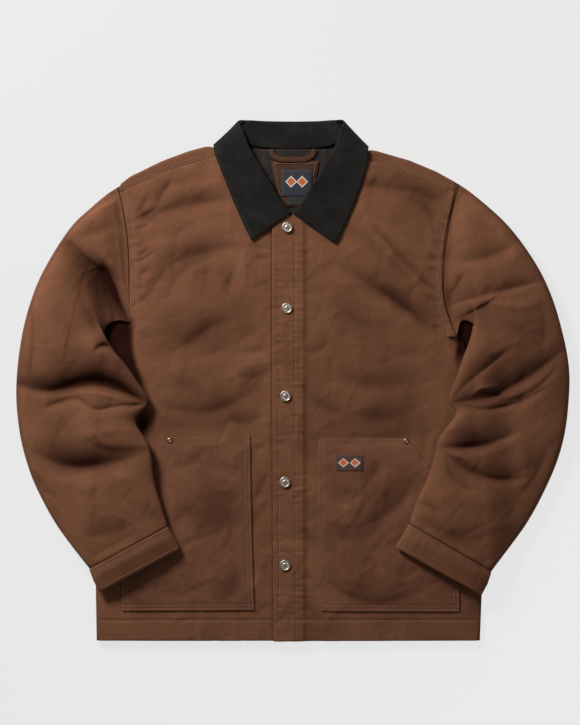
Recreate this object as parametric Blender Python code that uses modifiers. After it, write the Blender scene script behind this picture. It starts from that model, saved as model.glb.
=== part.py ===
"""Barn jacket laid flat on its back, front up, snaps fastened.

The pattern is drawn on squared paper: every (x, y) below is in squares of SQUARE millimetres, x to the
right from the left edge of the paper and y down from its top edge. CENTRE is the square over the origin.
Heights are millimetres above the surface that the jacket lies on. Left and right are the viewer's.
"""

import math

import bpy
import numpy as np

SQUARE = 1.45
CENTRE = (293.0, 380.0)
MM = 0.001

WALL = 2.4  # canvas with the lining sewn into it
COLLAR_WALL = 2.4
LINING_WALL = 1.0
PATCH_WALL = 1.2
LABEL_WALL = 0.7
POCKET_WALL = 2.0
POCKET_PUFF = 2.6
SEAM = 0.4  # air between two pieces that are sewn together
ROLL_RADIUS = 4.2  # how the back turns round the side and the shoulder
COLLAR_RADIUS = 2.6  # how the collar turns at its roll line
BODY_EDGE = 8.4  # height of the front at the side seam
BODY_MIDDLE = 12.5  # height of the front in the middle of the body
NECK_LIFT = 3.6  # the collar's back leaf lies under the back panel
OVERLAP_STEP = 3.1  # the placket lies on the other front
ARM_FLOOR = 56.0  # above this the back goes straight on under the arm, in millimetres from the origin
SNAP_RADIUS = 8.0
SNAP_HEIGHT = 3.0
RIVET_RADIUS = 4.0

# Body outline, down the paper: y, left edge, right edge.
SIDES = [
    # y, left, right
    (322, 131.0, 452.0),
    (330, 113.0, 462.0),
    (340, 107.5, 466.0),
    (352, 106.0, 470.0),
    (420, 102.0, 475.0),
    (520, 97.5, 480.5),
    (582, 95.2, 482.7),
    (640, 96.2, 480.4),
]
# Shoulder fold, across the paper: x, y.
SHOULDERS = [
    (117, 186), (130, 176), (161, 160.8), (187, 151), (207, 145.6), (214, 147), (222, 149), (240, 147),
    (292, 146), (345, 148), (358, 151), (367, 150.4), (374, 149.6), (410, 160), (438, 171.8), (459.5, 184),
]  # fmt: skip
FORWARD_SEAM_LEFT = [(120.0, 191.7), (141, 183.6), (169, 170.6), (192, 163.7), (216, 157.0), (239, 152.5)]
FORWARD_SEAM_RIGHT = [(454.4, 190.9), (419.5, 177.2), (393.6, 167), (368.6, 160.6), (346, 153.5)]
ARMHOLE_LEFT = [(120.0, 191.7), (123, 204.5), (127.6, 232), (129.6, 257), (129.8, 285), (131, 322)]
ARMHOLE_RIGHT = [(454.4, 190.9), (451.4, 204), (444.4, 241), (442, 268), (443.5, 303), (452, 332)]
NECK_LEFT = [(239, 152.5), (245, 166), (254, 184), (266, 201), (280, 212), (300, 215)]
NECK_RIGHT = [(346, 153.5), (340, 167), (329, 186), (315, 202), (300, 213), (285, 216), (272.4, 217)]
SIDE_SEAM_INSET = 3.0  # squares from the outline to the side seam
EDGE_UNDER = 299.0  # the under front ends here, under the placket
EDGE_PLACKET_TOP = 272.4
EDGE_PLACKET_HEM = 273.9
HEM_Y = 640.4

# Sleeves, from the armhole to the cuff: the inner edge, the outer edge, how much of the armhole's bow the
# row keeps, and the height of the stuffed tube there in millimetres.
SLEEVE_LEFT = [
    # inner x, y, outer x, y, bow, height
    (130.6, 322.0, 117.5, 187.0, 1.00, 10.0),
    (117.0, 320.0, 106.0, 194.6, 0.85, 19.0),
    (106.0, 327.0, 91.0, 207.6, 0.60, 27.0),
    (105.5, 340.0, 72.0, 226.0, 0.35, 31.0),
    (116.0, 353.0, 52.0, 256.0, 0.14, 32.0),
    (127.5, 366.0, 35.0, 290.0, 0.00, 32.0),
    (138.0, 381.5, 22.4, 334.0, 0.00, 31.0),
    (148.0, 399.0, 16.4, 386.0, 0.00, 30.0),
    (140.0, 422.0, 19.4, 430.0, 0.00, 29.0),
    (148.5, 449.0, 27.5, 464.0, 0.00, 29.0),
    (155.0, 480.0, 39.0, 493.0, 0.00, 27.0),
    (162.0, 504.0, 60.0, 530.0, 0.00, 25.0),
    (168.6, 525.0, 90.4, 568.0, 0.00, 22.0),
]
SLEEVE_RIGHT = [
    # inner x, y, outer x, y, bow, height
    (452.4, 332.0, 459.0, 184.0, 1.00, 10.0),
    (462.0, 320.5, 470.0, 191.4, 0.85, 19.0),
    (475.0, 326.0, 488.0, 206.4, 0.60, 27.0),
    (471.5, 338.0, 507.0, 224.6, 0.35, 31.0),
    (464.0, 354.0, 526.0, 249.0, 0.14, 32.0),
    (456.5, 375.0, 544.0, 279.0, 0.00, 32.0),
    (449.6, 400.0, 558.0, 316.0, 0.00, 31.0),
    (452.0, 414.0, 568.6, 365.0, 0.00, 30.0),
    (440.0, 438.0, 568.0, 408.0, 0.00, 29.0),
    (434.6, 452.0, 562.0, 445.0, 0.00, 29.0),
    (428.6, 473.0, 549.0, 481.0, 0.00, 27.0),
    (416.0, 501.0, 525.0, 526.0, 0.00, 25.0),
    (408.4, 522.8, 490.3, 571.0, 0.00, 22.0),
]
CUFF_LEFT = [(168.9, 525.8, 90.1, 568.8, 22.0), (175.0, 536.5, 94.0, 579.5, 22.5), (180.4, 547.8, 99.3, 591.1, 21.0)]
CUFF_RIGHT = [(408.1, 523.4, 490.6, 571.8, 22.0), (401.5, 534.5, 487.0, 583.0, 22.5), (394.9, 545.8, 481.4, 594.0, 21.0)]

# Collar, round the neck from the left point to the right point: the roll line, the outer edge, and how far
# the stand reaches from the roll line in millimetres. Heights are over the front where FRONT is true.
COLLAR = [
    # roll x, y, z, edge x, y, z, stand
    (291.0, 212.5, 20.0, 251.3, 239.6, 17.0, 6.0),
    (282.0, 202.6, 19.6, 242.9, 221.8, 16.2, 9.0),
    (270.0, 182.6, 19.2, 233.5, 200.4, 16.0, 12.0),
    (259.5, 165.4, 19.0, 224.0, 176.6, 16.6, 13.0),
    (249.8, 148.0, 18.6, 216.6, 157.4, 16.4, 12.0),
    (243.0, 131.0, 14.5, 214.0, 147.0, 13.0, 4.6),
    (238.5, 120.0, 6.5, 214.6, 144.0, 5.0, 24.0),
    (247.0, 119.4, 1.0, 225.0, 152.0, 0.1, 31.0),
    (266.0, 120.4, 0.3, 250.0, 164.0, 0.3, 38.5),
    (292.0, 120.8, 0.3, 291.5, 166.0, 0.3, 39.0),
    (318.0, 120.4, 0.3, 333.0, 164.0, 0.3, 38.5),
    (335.0, 119.2, 1.0, 357.0, 153.0, 0.3, 31.0),
    (343.5, 119.6, 6.5, 367.6, 145.8, 5.0, 24.0),
    (340.0, 131.0, 14.5, 368.0, 149.0, 13.0, 4.6),
    (334.8, 147.0, 18.6, 367.2, 158.6, 16.4, 12.0),
    (325.0, 164.0, 19.0, 361.0, 184.0, 16.6, 13.0),
    (314.5, 181.6, 19.2, 352.4, 205.6, 16.0, 12.0),
    (302.4, 201.4, 20.2, 343.6, 226.4, 16.2, 9.0),
    (292.4, 212.5, 20.4, 334.6, 242.4, 17.0, 6.0),
]

# Patch pockets: the corners round from the bottom of the front edge, and the hand slant.
POCKET_LEFT = {
    "front": [(253.8, 609.6), (251.2, 520), (249.7, 436)],
    "mouth": [(249.7, 436), (169.6, 438.2), (150, 458), (122.5, 500)],
    "side": [(122.5, 500), (121.5, 556), (122.5, 610.4)],
}
POCKET_RIGHT = {
    "front": [(322.2, 610.6), (318.0, 520), (318.4, 438.6)],
    "mouth": [(318.4, 438.6), (406.6, 438.2), (429.0, 467), (456.0, 505)],
    "side": [(456.0, 505), (458.5, 556), (459.0, 611.2)],
}
RIVETS = [(169.8, 440.2), (406.2, 441.0)]
SNAPS = [(287.2, 227.4), (286.9, 308.2), (285.5, 396.0), (285.0, 482.0), (285.0, 565.0)]

NECK_LINING = [(262, 214), (322, 216), (339, 149.2), (246, 149.2)]
FACING_PATCH = [(280, 206), (310, 206), (319, 161), (271.5, 161)]
NECK_LABEL = [(281.5, 196.1), (311.8, 196.1), (311.8, 169.6), (281.5, 169.6)]
SIZE_TAG = [(288.4, 204.6), (305.7, 204.6), (305.7, 196.8), (288.4, 196.8)]
POCKET_LABEL = [(336.2, 470.2), (362.3, 470.2), (362.3, 455.1), (336.2, 455.1)]
HANGER_LOOP = [(271.0, 149.5), (272.4, 154.5), (278, 158.4), (292, 159.2), (306, 158.8), (312.4, 154.6), (314.9, 149.5)]
STAND_FROM = 0.388  # the stand is only made behind the neck, where it shows
LOOP_WIDTH = 7.0
LOOP_WALL = 1.4
LOOP_RISE = 1.6
SNAP_SEAT = 0.2

# The largest folds: four points along the crease, its half width and depth, and the ridge to its left, mm.
FOLDS = [
    # piece, x1, y1, x2, y2, x3, y3, x4, y4, width, depth, ridge
    ("body", 232, 202, 205, 203, 175, 209, 143, 219, 11, 3.6, 1.2),
    ("body", 171, 181, 163, 192, 157, 202, 150, 208, 7, 2.6, 0.8),
    ("body", 233, 248, 205, 254, 172, 266, 150, 292, 10, 3.2, 1.2),
    ("body", 226, 323, 208, 331, 190, 344, 172, 354, 9, 2.2, 0.8),
    ("body", 362, 186, 385, 189, 412, 191, 446, 204, 11, 3.6, -1.2),
    ("body", 372, 222, 395, 243, 414, 268, 434, 287, 7, 2.0, -0.8),
    ("body", 345, 270, 380, 288, 410, 306, 440, 334, 12, 3.4, -1.2),
    ("body", 300, 348, 318, 335, 345, 332, 370, 338, 10, 1.6, 0.6),
    ("pocket", 414, 476, 402, 492, 384, 510, 358, 531, 12, 2.4, 0.8),
    ("pocket", 326, 577, 352, 592, 385, 601, 432, 586, 7, 2.0, 0.8),
    ("pocket", 206, 449, 198, 455, 190, 461, 182, 467, 8, 1.6, 0.6),
    ("left", 120, 200, 96, 214, 80, 222, 64, 238, 8, -3.0, 0.0),
    ("left", 70, 243, 88, 263, 108, 280, 128, 318, 9, 9.0, 5.0),
    ("left", 30, 372, 62, 383, 102, 382, 146, 402, 13, 13.0, -3.0),
    ("left", 44, 409, 75, 399, 100, 408, 146, 404, 7, 5.0, 2.0),
    ("left", 30, 454, 62, 450, 105, 451, 150, 449, 15, 8.0, 2.5),
    ("left", 96, 352, 104, 349, 112, 352, 118, 356, 6, 5.0, 1.5),
    ("left", 30, 470, 38, 484, 46, 492, 60, 497, 9, 3.0, 1.0),
    ("right", 447, 305, 472, 299, 505, 289, 540, 285, 7, 6.0, 3.0),
    ("right", 462, 318, 480, 308, 492, 301, 503, 294, 8, 5.0, -2.5),
    ("right", 505, 246, 500, 256, 502, 268, 512, 277, 14, 4.0, 1.0),
    ("right", 448, 400, 478, 384, 520, 376, 566, 346, 13, 13.0, 3.0),
    ("right", 450, 403, 482, 408, 512, 402, 546, 387, 8, 6.0, 2.0),
    ("right", 446, 442, 470, 442, 490, 440, 506, 434, 14, 7.0, 2.5),
    ("right", 444, 450, 468, 466, 494, 474, 520, 477, 9, 5.0, 2.0),
    ("right", 412, 506, 420, 502, 430, 505, 436, 512, 8, 3.0, 1.0),
]


def place(rows):
    """Squares of the paper to millimetres from the origin, x to the right and y up."""
    rows = np.asarray(rows, float)
    out = rows.copy()
    out[..., 0] = (rows[..., 0] - CENTRE[0]) * SQUARE
    out[..., 1] = (CENTRE[1] - rows[..., 1]) * SQUARE
    return out


def smooth(a):
    """0 to 1 with level ends."""
    a = np.clip(a, 0.0, 1.0)
    return a * a * (3.0 - 2.0 * a)


def along(rows, at):
    """Smooth curve through the rows: cubic pieces in chord length, read at 0 to 1."""
    rows = np.asarray(rows, float)
    at = np.clip(np.asarray(at, float), 0.0, 1.0)
    step = np.linalg.norm(np.diff(rows[:, :2], axis=0), axis=1)
    knots = np.concatenate([[0.0], np.cumsum(step)])
    knots /= knots[-1]
    slope = np.gradient(rows, knots, axis=0)
    k = np.clip(np.searchsorted(knots, at, side="right") - 1, 0, len(rows) - 2)
    h = (knots[k + 1] - knots[k])[..., None]
    t = ((at - knots[k])[..., None]) / h
    return (
        (2 * t**3 - 3 * t**2 + 1) * rows[k]
        + (t**3 - 2 * t**2 + t) * h * slope[k]
        + (3 * t**2 - 2 * t**3) * rows[k + 1]
        + (t**3 - t**2) * h * slope[k + 1]
    )


def joined(first, second, share):
    """Two curves end to end, the first taking this share of 0 to 1, so that their corner stays sharp."""

    def curve(at):
        at = np.asarray(at, float)
        a = along(first, at / share)
        b = along(second, (at - share) / (1.0 - share))
        return np.where((at < share)[..., None], a, b)

    return curve


def side_edges(y):
    """Left and right outline of the body at this height of the paper, in millimetres."""
    table = np.asarray(SIDES, float)
    level = (CENTRE[1] - table[:, 0]) * SQUARE
    left = np.interp(-y, -level, (table[:, 1] - CENTRE[0]) * SQUARE)
    right = np.interp(-y, -level, (table[:, 2] - CENTRE[0]) * SQUARE)
    return left, right


def shoulder_fold(x):
    table = place(SHOULDERS)
    return np.interp(x, table[:, 0], table[:, 1])


def neck_lift(x, y):
    """The back panel rises over the collar's back leaf."""
    across = smooth((126.0 - np.abs(x + 2.0)) / 26.0)
    down = smooth((y - 250.0) / 60.0)
    return NECK_LIFT * across * down


def fold_relief(piece, x, y, rows):
    """Sum of soft troughs with a ridge beside them, each following its own crease."""
    total = np.zeros(np.broadcast(x, y).shape)
    for row in rows:
        if row[0] != piece:
            continue
        crease = along(place(np.asarray(row[1:9], float).reshape(4, 2)), np.linspace(0, 1, 25))
        width, depth, ridge = row[9:12]
        near = (
            (x > crease[:, 0].min() - 5 * width)
            & (x < crease[:, 0].max() + 5 * width)
            & (y > crease[:, 1].min() - 5 * width)
            & (y < crease[:, 1].max() + 5 * width)
        )
        if not near.any():
            continue
        px, py = x[near][:, None], y[near][:, None]
        a, b = crease[:-1], crease[1:]
        run = b - a
        length2 = (run**2).sum(1)
        t = np.clip(((px - a[:, 0]) * run[:, 0] + (py - a[:, 1]) * run[:, 1]) / length2, 0, 1)
        dx = px - (a[:, 0] + t * run[:, 0])
        dy = py - (a[:, 1] + t * run[:, 1])
        d2 = dx**2 + dy**2
        best = np.argmin(d2, axis=1)
        pick = np.arange(len(best))
        distance = np.sqrt(d2[pick, best])
        side = np.sign(run[best, 0] * dy[pick, best] - run[best, 1] * dx[pick, best])
        position = (best + t[pick, best]) / len(a)
        taper = np.sin(np.pi * np.clip(position, 0.0, 1.0)) ** 0.7
        off = side * np.sign(ridge if ridge else 1.0) * distance
        relief = -depth * np.exp(-((distance / width) ** 2))
        relief += abs(ridge) * np.exp(-(((off - 1.8 * width) / (1.2 * width)) ** 2))
        total[near] += relief * taper
    return total


def sleeve_edge(y, side):
    """Inner edge of the sleeve where it lies over the body, in millimetres."""
    table = place(np.asarray(SLEEVE_LEFT if side < 0 else SLEEVE_RIGHT)[:, :2])
    order = np.argsort(-table[3:, 1])
    rows = table[3:][order]
    return np.interp(-y, -rows[:, 1], rows[:, 0])


def front_height(x, y, folds=FOLDS):
    """Height of the outside of the fronts."""
    left, right = side_edges(y)
    from_side = np.minimum(x - left, right - x)
    from_hem = y - (CENTRE[1] - HEM_Y) * SQUARE
    from_top = shoulder_fold(x) - y
    inside = np.minimum(np.minimum(from_side, from_top), from_hem + 16.0)
    swell = 1.0 - np.exp(-np.maximum(inside, 0.0) / 34.0)
    height = BODY_EDGE + (BODY_MIDDLE - BODY_EDGE) * swell
    pit_left = np.hypot((x + 255.0) / 26.0, (y - 62.0) / 27.0)
    pit_right = np.hypot((x - 251.0) / 20.0, (y - 56.0) / 25.0)
    pit = smooth(1.3 - pit_left) + smooth(1.3 - pit_right)
    height = height - (height - 5.4) * np.clip(pit, 0, 1)
    clear_left = smooth((x - sleeve_edge(y, -1) - 2.0) / 14.0)
    clear_right = smooth((sleeve_edge(y, 1) - x - 2.0) / 14.0)
    clear = np.where(y < 84.0, clear_left * clear_right, 1.0)
    relief = fold_relief("body", x, y, folds) * clear
    relief = np.minimum(relief, 2.0)
    return height + neck_lift(x, y) + np.maximum(relief, 5.4 - height)


def placket_height(x, y, folds=FOLDS):
    """Height of the front that laps over: it steps down past the edge of the one under it."""
    under = (EDGE_UNDER - CENTRE[0]) * SQUARE
    return front_height(x, y, folds) + OVERLAP_STEP * (1.0 - smooth((x - under - 2.5) / 11.0))


def surface_normal(surface, s, t, step=1e-3):
    """Unit normal from the surface's own differences, along its first then its second parameter."""
    ds = surface(np.minimum(s + step, s.max()), t) - surface(np.maximum(s - step, s.min()), t)
    dt = surface(s, np.minimum(t + step, t.max())) - surface(s, np.maximum(t - step, t.min()))
    n = np.cross(ds, dt)
    return n / np.maximum(np.linalg.norm(n, axis=-1, keepdims=True), 1e-9)


def material(name, colour, roughness, metallic=0.0):
    made = bpy.data.materials.new(name)
    made.use_nodes = True
    shader = made.node_tree.nodes["Principled BSDF"]
    shader.inputs["Base Color"].default_value = (*colour, 1.0)
    shader.inputs["Roughness"].default_value = roughness
    shader.inputs["Metallic"].default_value = metallic
    return made


def loft(name, outer, inner, made, collection):
    """Closed solid between two grids of points with the same rows and columns, walled along their rims."""
    rows, cols = outer.shape[:2]
    count = rows * cols
    points = np.concatenate([outer.reshape(-1, 3), inner.reshape(-1, 3)]) * MM
    index = np.arange(count).reshape(rows, cols)
    a, b, c, d = index[:-1, :-1], index[:-1, 1:], index[1:, 1:], index[1:, :-1]
    top = np.stack([a, b, c, d], -1).reshape(-1, 4)
    bottom = top[:, ::-1] + count
    rim = np.concatenate([index[0, :], index[1:, -1], index[-1, -2::-1], index[-2:0:-1, 0]])
    after = np.roll(rim, -1)
    wall = np.stack([after, rim, rim + count, after + count], -1)
    faces = np.concatenate([top, bottom, wall])
    corner = points[faces]
    middle = np.cross(corner[:, 1] - corner[:, 0], corner[:, 2] - corner[:, 0])
    middle += np.cross(corner[:, 2] - corner[:, 0], corner[:, 3] - corner[:, 0])
    if (middle * corner[:, 0]).sum() < 0:
        faces = faces[:, ::-1]
    mesh = bpy.data.meshes.new(name)
    mesh.from_pydata(points.tolist(), [], faces.tolist())
    mesh.shade_smooth()
    mesh.set_sharp_from_angle(angle=math.radians(50))
    mesh.materials.append(made)
    obj = bpy.data.objects.new(name, mesh)
    collection.objects.link(obj)
    return obj


def shell(name, surface, s, t, wall, made, collection):
    """A cloth wall: the surface's points, and the same points moved in along its normals."""
    grid_s, grid_t = np.meshgrid(s, t)
    outer = surface(grid_s, grid_t)
    normal = surface_normal(surface, grid_s, grid_t)
    return loft(name, outer, outer - normal * wall, made, collection)


def patch(bottom, top, left, right):
    """Flat Coons patch between four curves, each read at 0 to 1 from the left or from the bottom."""

    def surface(s, t):
        s, t = np.broadcast_arrays(s, t)
        low, high, west, east = bottom(s), top(s), left(t), right(t)
        zero, one = np.zeros_like(s), np.ones_like(s)
        s3, t3 = s[..., None], t[..., None]
        corner = (
            (1 - s3) * (1 - t3) * bottom(zero)
            + s3 * (1 - t3) * bottom(one)
            + (1 - s3) * t3 * top(zero)
            + s3 * t3 * top(one)
        )
        return (1 - t3) * low + t3 * high + (1 - s3) * west + s3 * east - corner

    return surface


def raised(flat, height):
    """A flat patch lifted to this height."""

    def surface(s, t):
        xy = flat(s, t)
        return np.concatenate([xy, height(xy[..., 0], xy[..., 1])[..., None]], -1)

    return surface


def joined_flank(side, armhole):
    """Side seam from the hem to the underarm, then the armhole."""

    def curve(t):
        t = np.asarray(t, float)
        low = (CENTRE[1] - HEM_Y) * SQUARE
        y = low + (place(armhole)[-1, 1] - low) * np.minimum(t / 0.66, 1.0)
        left, right = side_edges(y)
        x = left + SIDE_SEAM_INSET * SQUARE if side < 0 else right - SIDE_SEAM_INSET * SQUARE
        seam = np.stack([x, y], -1)
        hole = along(place(armhole[::-1]), (t - 0.66) / 0.34)
        return np.where((t < 0.66)[..., None], seam, hole)

    return curve


def front_patch(side):
    """Cut of one front: hem, side seam with the armhole, shoulder with the neck, and front edge."""
    if side < 0:
        hem = place([(96.2 + SIDE_SEAM_INSET, HEM_Y), (180, HEM_Y + 0.3), (EDGE_UNDER, HEM_Y)])
        flank = joined_flank(-1, ARMHOLE_LEFT)
        crown = joined(place(FORWARD_SEAM_LEFT), place(NECK_LEFT), 0.56)
        edge = place([(EDGE_UNDER, HEM_Y), (EDGE_UNDER, 420), (300, 215)])
    else:
        hem = place([(480.4 - SIDE_SEAM_INSET, HEM_Y), (380, HEM_Y + 0.3), (EDGE_PLACKET_HEM, HEM_Y + 0.6)])
        flank = joined_flank(1, ARMHOLE_RIGHT)
        crown = joined(place(FORWARD_SEAM_RIGHT), place(NECK_RIGHT), 0.52)
        edge = place([(EDGE_PLACKET_HEM, HEM_Y + 0.6), (273.1, 420), (EDGE_PLACKET_TOP, 217)])
    return patch(lambda s: along(hem, s), crown, flank, lambda t: along(edge, t))


def back_surface():
    """The back: flat, then rolled round the sides and over the shoulders on to the front of the jacket."""
    turn = math.pi * ROLL_RADIUS
    wrap = turn + (SIDE_SEAM_INSET * SQUARE - ROLL_RADIUS) - 1.5

    def crown(s):
        s = np.asarray(s, float)
        seam_left, seam_right = place(FORWARD_SEAM_LEFT), place(FORWARD_SEAM_RIGHT)[::-1]
        left = along(seam_left, s / 0.34)
        right = along(seam_right, (s - 0.66) / 0.34)
        shoulder = np.where((s < 0.5)[..., None], left, right)
        # Unrolled: what lies past the fold is turned back out over it.
        fold = shoulder_fold(shoulder[..., 0])
        beyond = fold - ROLL_RADIUS - shoulder[..., 1]
        shoulder = np.stack([shoulder[..., 0], fold - ROLL_RADIUS + turn + beyond - SEAM], -1)
        neck = np.stack([-76.5 + 151.5 * (s - 0.345) / 0.31, 333.8 - 2.0 * np.cos((s - 0.5) * 9.0)], -1)
        middle = (s > 0.342) & (s < 0.658)
        return np.where(middle[..., None], neck, shoulder)

    def flank(side, armhole):
        top = crown(np.array([0.0 if side < 0 else 1.0]))
        sleeve = np.concatenate([place(armhole[:0:-1]), top])

        def curve(t):
            t = np.asarray(t, float)
            y_hem = (CENTRE[1] - HEM_Y) * SQUARE
            y_arm = place(armhole)[-1, 1] - 3.0
            y = y_hem + (y_arm - y_hem) * t / 0.66
            left, right = side_edges(np.minimum(y, ARM_FLOOR))
            grow = smooth((26.0 - y) / 22.0)
            reach = np.where(y < 30.0, wrap * grow, ROLL_RADIUS + 2.0)
            x = left + ROLL_RADIUS - reach if side < 0 else right - ROLL_RADIUS + reach
            low = np.stack([x, y], -1)
            high = along(sleeve, (t - 0.66) / 0.34)
            return np.where((t < 0.66)[..., None], low, high)

        return curve

    hem = place([(96.2, HEM_Y - 0.4), (292, HEM_Y - 0.4), (480.4, HEM_Y - 0.4)])

    def low(s):
        ends = flank(-1, ARMHOLE_LEFT)(np.zeros(1)), flank(1, ARMHOLE_RIGHT)(np.zeros(1))
        x = ends[0][0, 0] + (ends[1][0, 0] - ends[0][0, 0]) * np.asarray(s, float)
        return np.stack([x, np.full_like(x, hem[0, 1])], -1)

    return patch(low, crown, flank(-1, ARMHOLE_LEFT), flank(1, ARMHOLE_RIGHT)), turn


def rolled(flat, turn, depth):
    """Rolls the flat back round its side and shoulder folds. Depth is how far into the cloth from outside."""
    radius = ROLL_RADIUS - depth

    def surface(s, t):
        xy = flat(s, t)
        x, y = xy[..., 0], xy[..., 1]
        left, right = side_edges(np.minimum(y, ARM_FLOOR))
        low = y < 30.0
        past_left = np.where(low, left + ROLL_RADIUS - x, -1.0)
        past_right = np.where(low, x - right + ROLL_RADIUS, -1.0)
        past = np.maximum(past_left, past_right)
        sign = np.where(past_left > past_right, -1.0, 1.0)
        edge = np.where(sign < 0, left + ROLL_RADIUS, right - ROLL_RADIUS)
        angle = np.clip(past, 0.0, turn) / ROLL_RADIUS
        rest = np.maximum(past - turn, 0.0)
        x = np.where(past > 0, edge + sign * (radius * np.sin(angle) - rest), x)
        z = np.where(past > 0, ROLL_RADIUS - radius * np.cos(angle), depth)
        neck = (np.abs(x + 0.75) < 76.4) & (y > 320.0)
        fold = shoulder_fold(x) - ROLL_RADIUS
        over = np.where((y > 84.0) & ~neck, y - fold, -1.0)
        angle = np.clip(over, 0.0, turn) / ROLL_RADIUS
        rest = np.maximum(over - turn, 0.0)
        y = np.where(over > 0, fold + radius * np.sin(angle) - rest, y)
        z = np.where(over > 0, ROLL_RADIUS - radius * np.cos(angle), z)
        z = z + neck_lift(x, y)
        return np.stack([x, y, z], -1)

    return surface


def under_sleeve(x, y):
    """Height of what the sleeve lies on: the surface outside the body, then the front and its pocket."""
    left, right = side_edges(y)
    past = np.maximum(smooth((x - left + 54.0) / 48.0) * (x < 0), smooth((right + 54.0 - x) / 48.0) * (x > 0))
    body = smooth((84.0 - y) / 40.0)
    pocket = smooth((-78.0 - y) / 20.0) * (WALL + 1.6)
    return past * body * (front_height(x, y) + 1.4 + pocket)


# A sleeve bends round the arm's space, so each of its two pieces is kept in three lengths that meet at a seam's gap.
SLEEVE_LENGTHS = [
    # name, right sleeve from, to, left sleeve from, to (share of the way from the armhole to the cuff)
    ("arm", 0.0015, 0.4720, 0.0015, 0.4720),
    ("elbow", 0.4752, 0.7224, 0.4752, 0.7224),
    ("forearm", 0.7240, 0.9980, 0.7240, 0.9980),
]


def sleeve_surface(rows, armhole, folds=FOLDS, piece="left"):
    """Stuffed tube: s runs round it from the inner edge over the top, t from the armhole to the cuff."""
    table = place(np.asarray(rows, float)[:, :2])
    outer_edge = place(np.asarray(rows, float)[:, 2:4])
    rest = np.asarray(rows, float)[:, 4:]
    sections = np.concatenate([table, outer_edge, rest], -1)
    knots = np.linspace(0.0, 1.0, len(rows))
    slopes = np.gradient(sections, knots, axis=0)
    seam = place(armhole)

    def section(t):
        k = np.clip((t * (len(rows) - 1)).astype(int), 0, len(rows) - 2)
        h = 1.0 / (len(rows) - 1)
        w = ((t - knots[k]) / h)[..., None]
        return (
            (2 * w**3 - 3 * w**2 + 1) * sections[k]
            + (w**3 - 2 * w**2 + w) * h * slopes[k]
            + (3 * w**2 - 2 * w**3) * sections[k + 1]
            + (w**3 - w**2) * h * slopes[k + 1]
        )

    def surface(s, t):
        s, t = np.broadcast_arrays(np.asarray(s, float), np.asarray(t, float))
        row = section(t)
        angle = 2.0 * math.pi * s
        across = (1.0 - np.cos(angle)) / 2.0
        a, b, bow, height = row[..., 0:2], row[..., 2:4], row[..., 4], row[..., 5]
        xy = a + (b - a) * across[..., None]
        chord = seam[-1] + (seam[0] - seam[-1]) * across[..., None]
        arc = along(seam[::-1], across)
        xy = xy + (arc - chord) * bow[..., None]
        x, y = xy[..., 0], xy[..., 1]
        profile = (1.0 - np.abs(np.cos(angle)) ** 2.6) ** (1 / 2.6)
        floor = under_sleeve(x, y)
        at_seam = smooth(1.0 - t * (len(rows) - 1) / 1.6)
        top = height * (1 - at_seam) + np.maximum(front_height(x, y, ()), 8.0) * at_seam
        edge = 0.42 * top
        over = np.sin(angle) >= 0
        relief = fold_relief(piece, x, y, folds) * profile * (1 - at_seam)
        relief = np.maximum(relief, -(top - edge) * profile - edge + 9.0)
        z = np.where(over, edge + (top - edge) * profile + relief, edge - edge * profile)
        return np.stack([x, y, z + floor], -1)

    return surface


def tube_part(name, surface, s, t, wall, made, collection):
    """Part of a stuffed tube's wall. s may run past 1, back to the inner edge."""
    grid_s, grid_t = np.meshgrid(s, t)
    step = 2e-3
    outer = surface(grid_s, grid_t)
    ds = surface(grid_s + step, grid_t) - surface(grid_s - step, grid_t)
    dt = surface(grid_s, np.minimum(grid_t + step, 1.0)) - surface(grid_s, np.maximum(grid_t - step, 0.0))
    n = np.cross(ds, dt)
    n /= np.maximum(np.linalg.norm(n, axis=-1, keepdims=True), 1e-9)
    middle = surface(np.full_like(grid_s, 0.25), grid_t) + surface(np.full_like(grid_s, 0.75), grid_t)
    if ((outer - middle / 2) * n).sum() < 0:
        n = -n
    return loft(name, outer, outer - n * wall, made, collection)


def cuff_surface(rows):
    """Turned band: s round it from the inner edge over the top, t from its seam to its edge."""
    table = np.asarray(rows, float)
    a, b = place(table[:, :2]), place(table[:, 2:4])
    knots = np.linspace(0, 1, len(rows))

    def surface(s, t):
        s, t = np.broadcast_arrays(np.asarray(s, float), np.asarray(t, float))
        angle = 2.0 * math.pi * s
        across = ((1.0 - np.cos(angle)) / 2.0)[..., None]
        first = np.stack([np.interp(t, knots, a[:, i]) for i in range(2)], -1)
        last = np.stack([np.interp(t, knots, b[:, i]) for i in range(2)], -1)
        xy = first + (last - first) * across
        x, y = xy[..., 0], xy[..., 1]
        height = np.interp(t, knots, table[:, 4])
        profile = (1.0 - np.abs(np.cos(angle)) ** 2.6) ** (1 / 2.6)
        edge = 0.42 * height
        z = np.where(np.sin(angle) >= 0, edge + (height - edge) * profile, edge - edge * profile)
        return np.stack([x, y, z + under_sleeve(x, y)], -1)

    return surface


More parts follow.
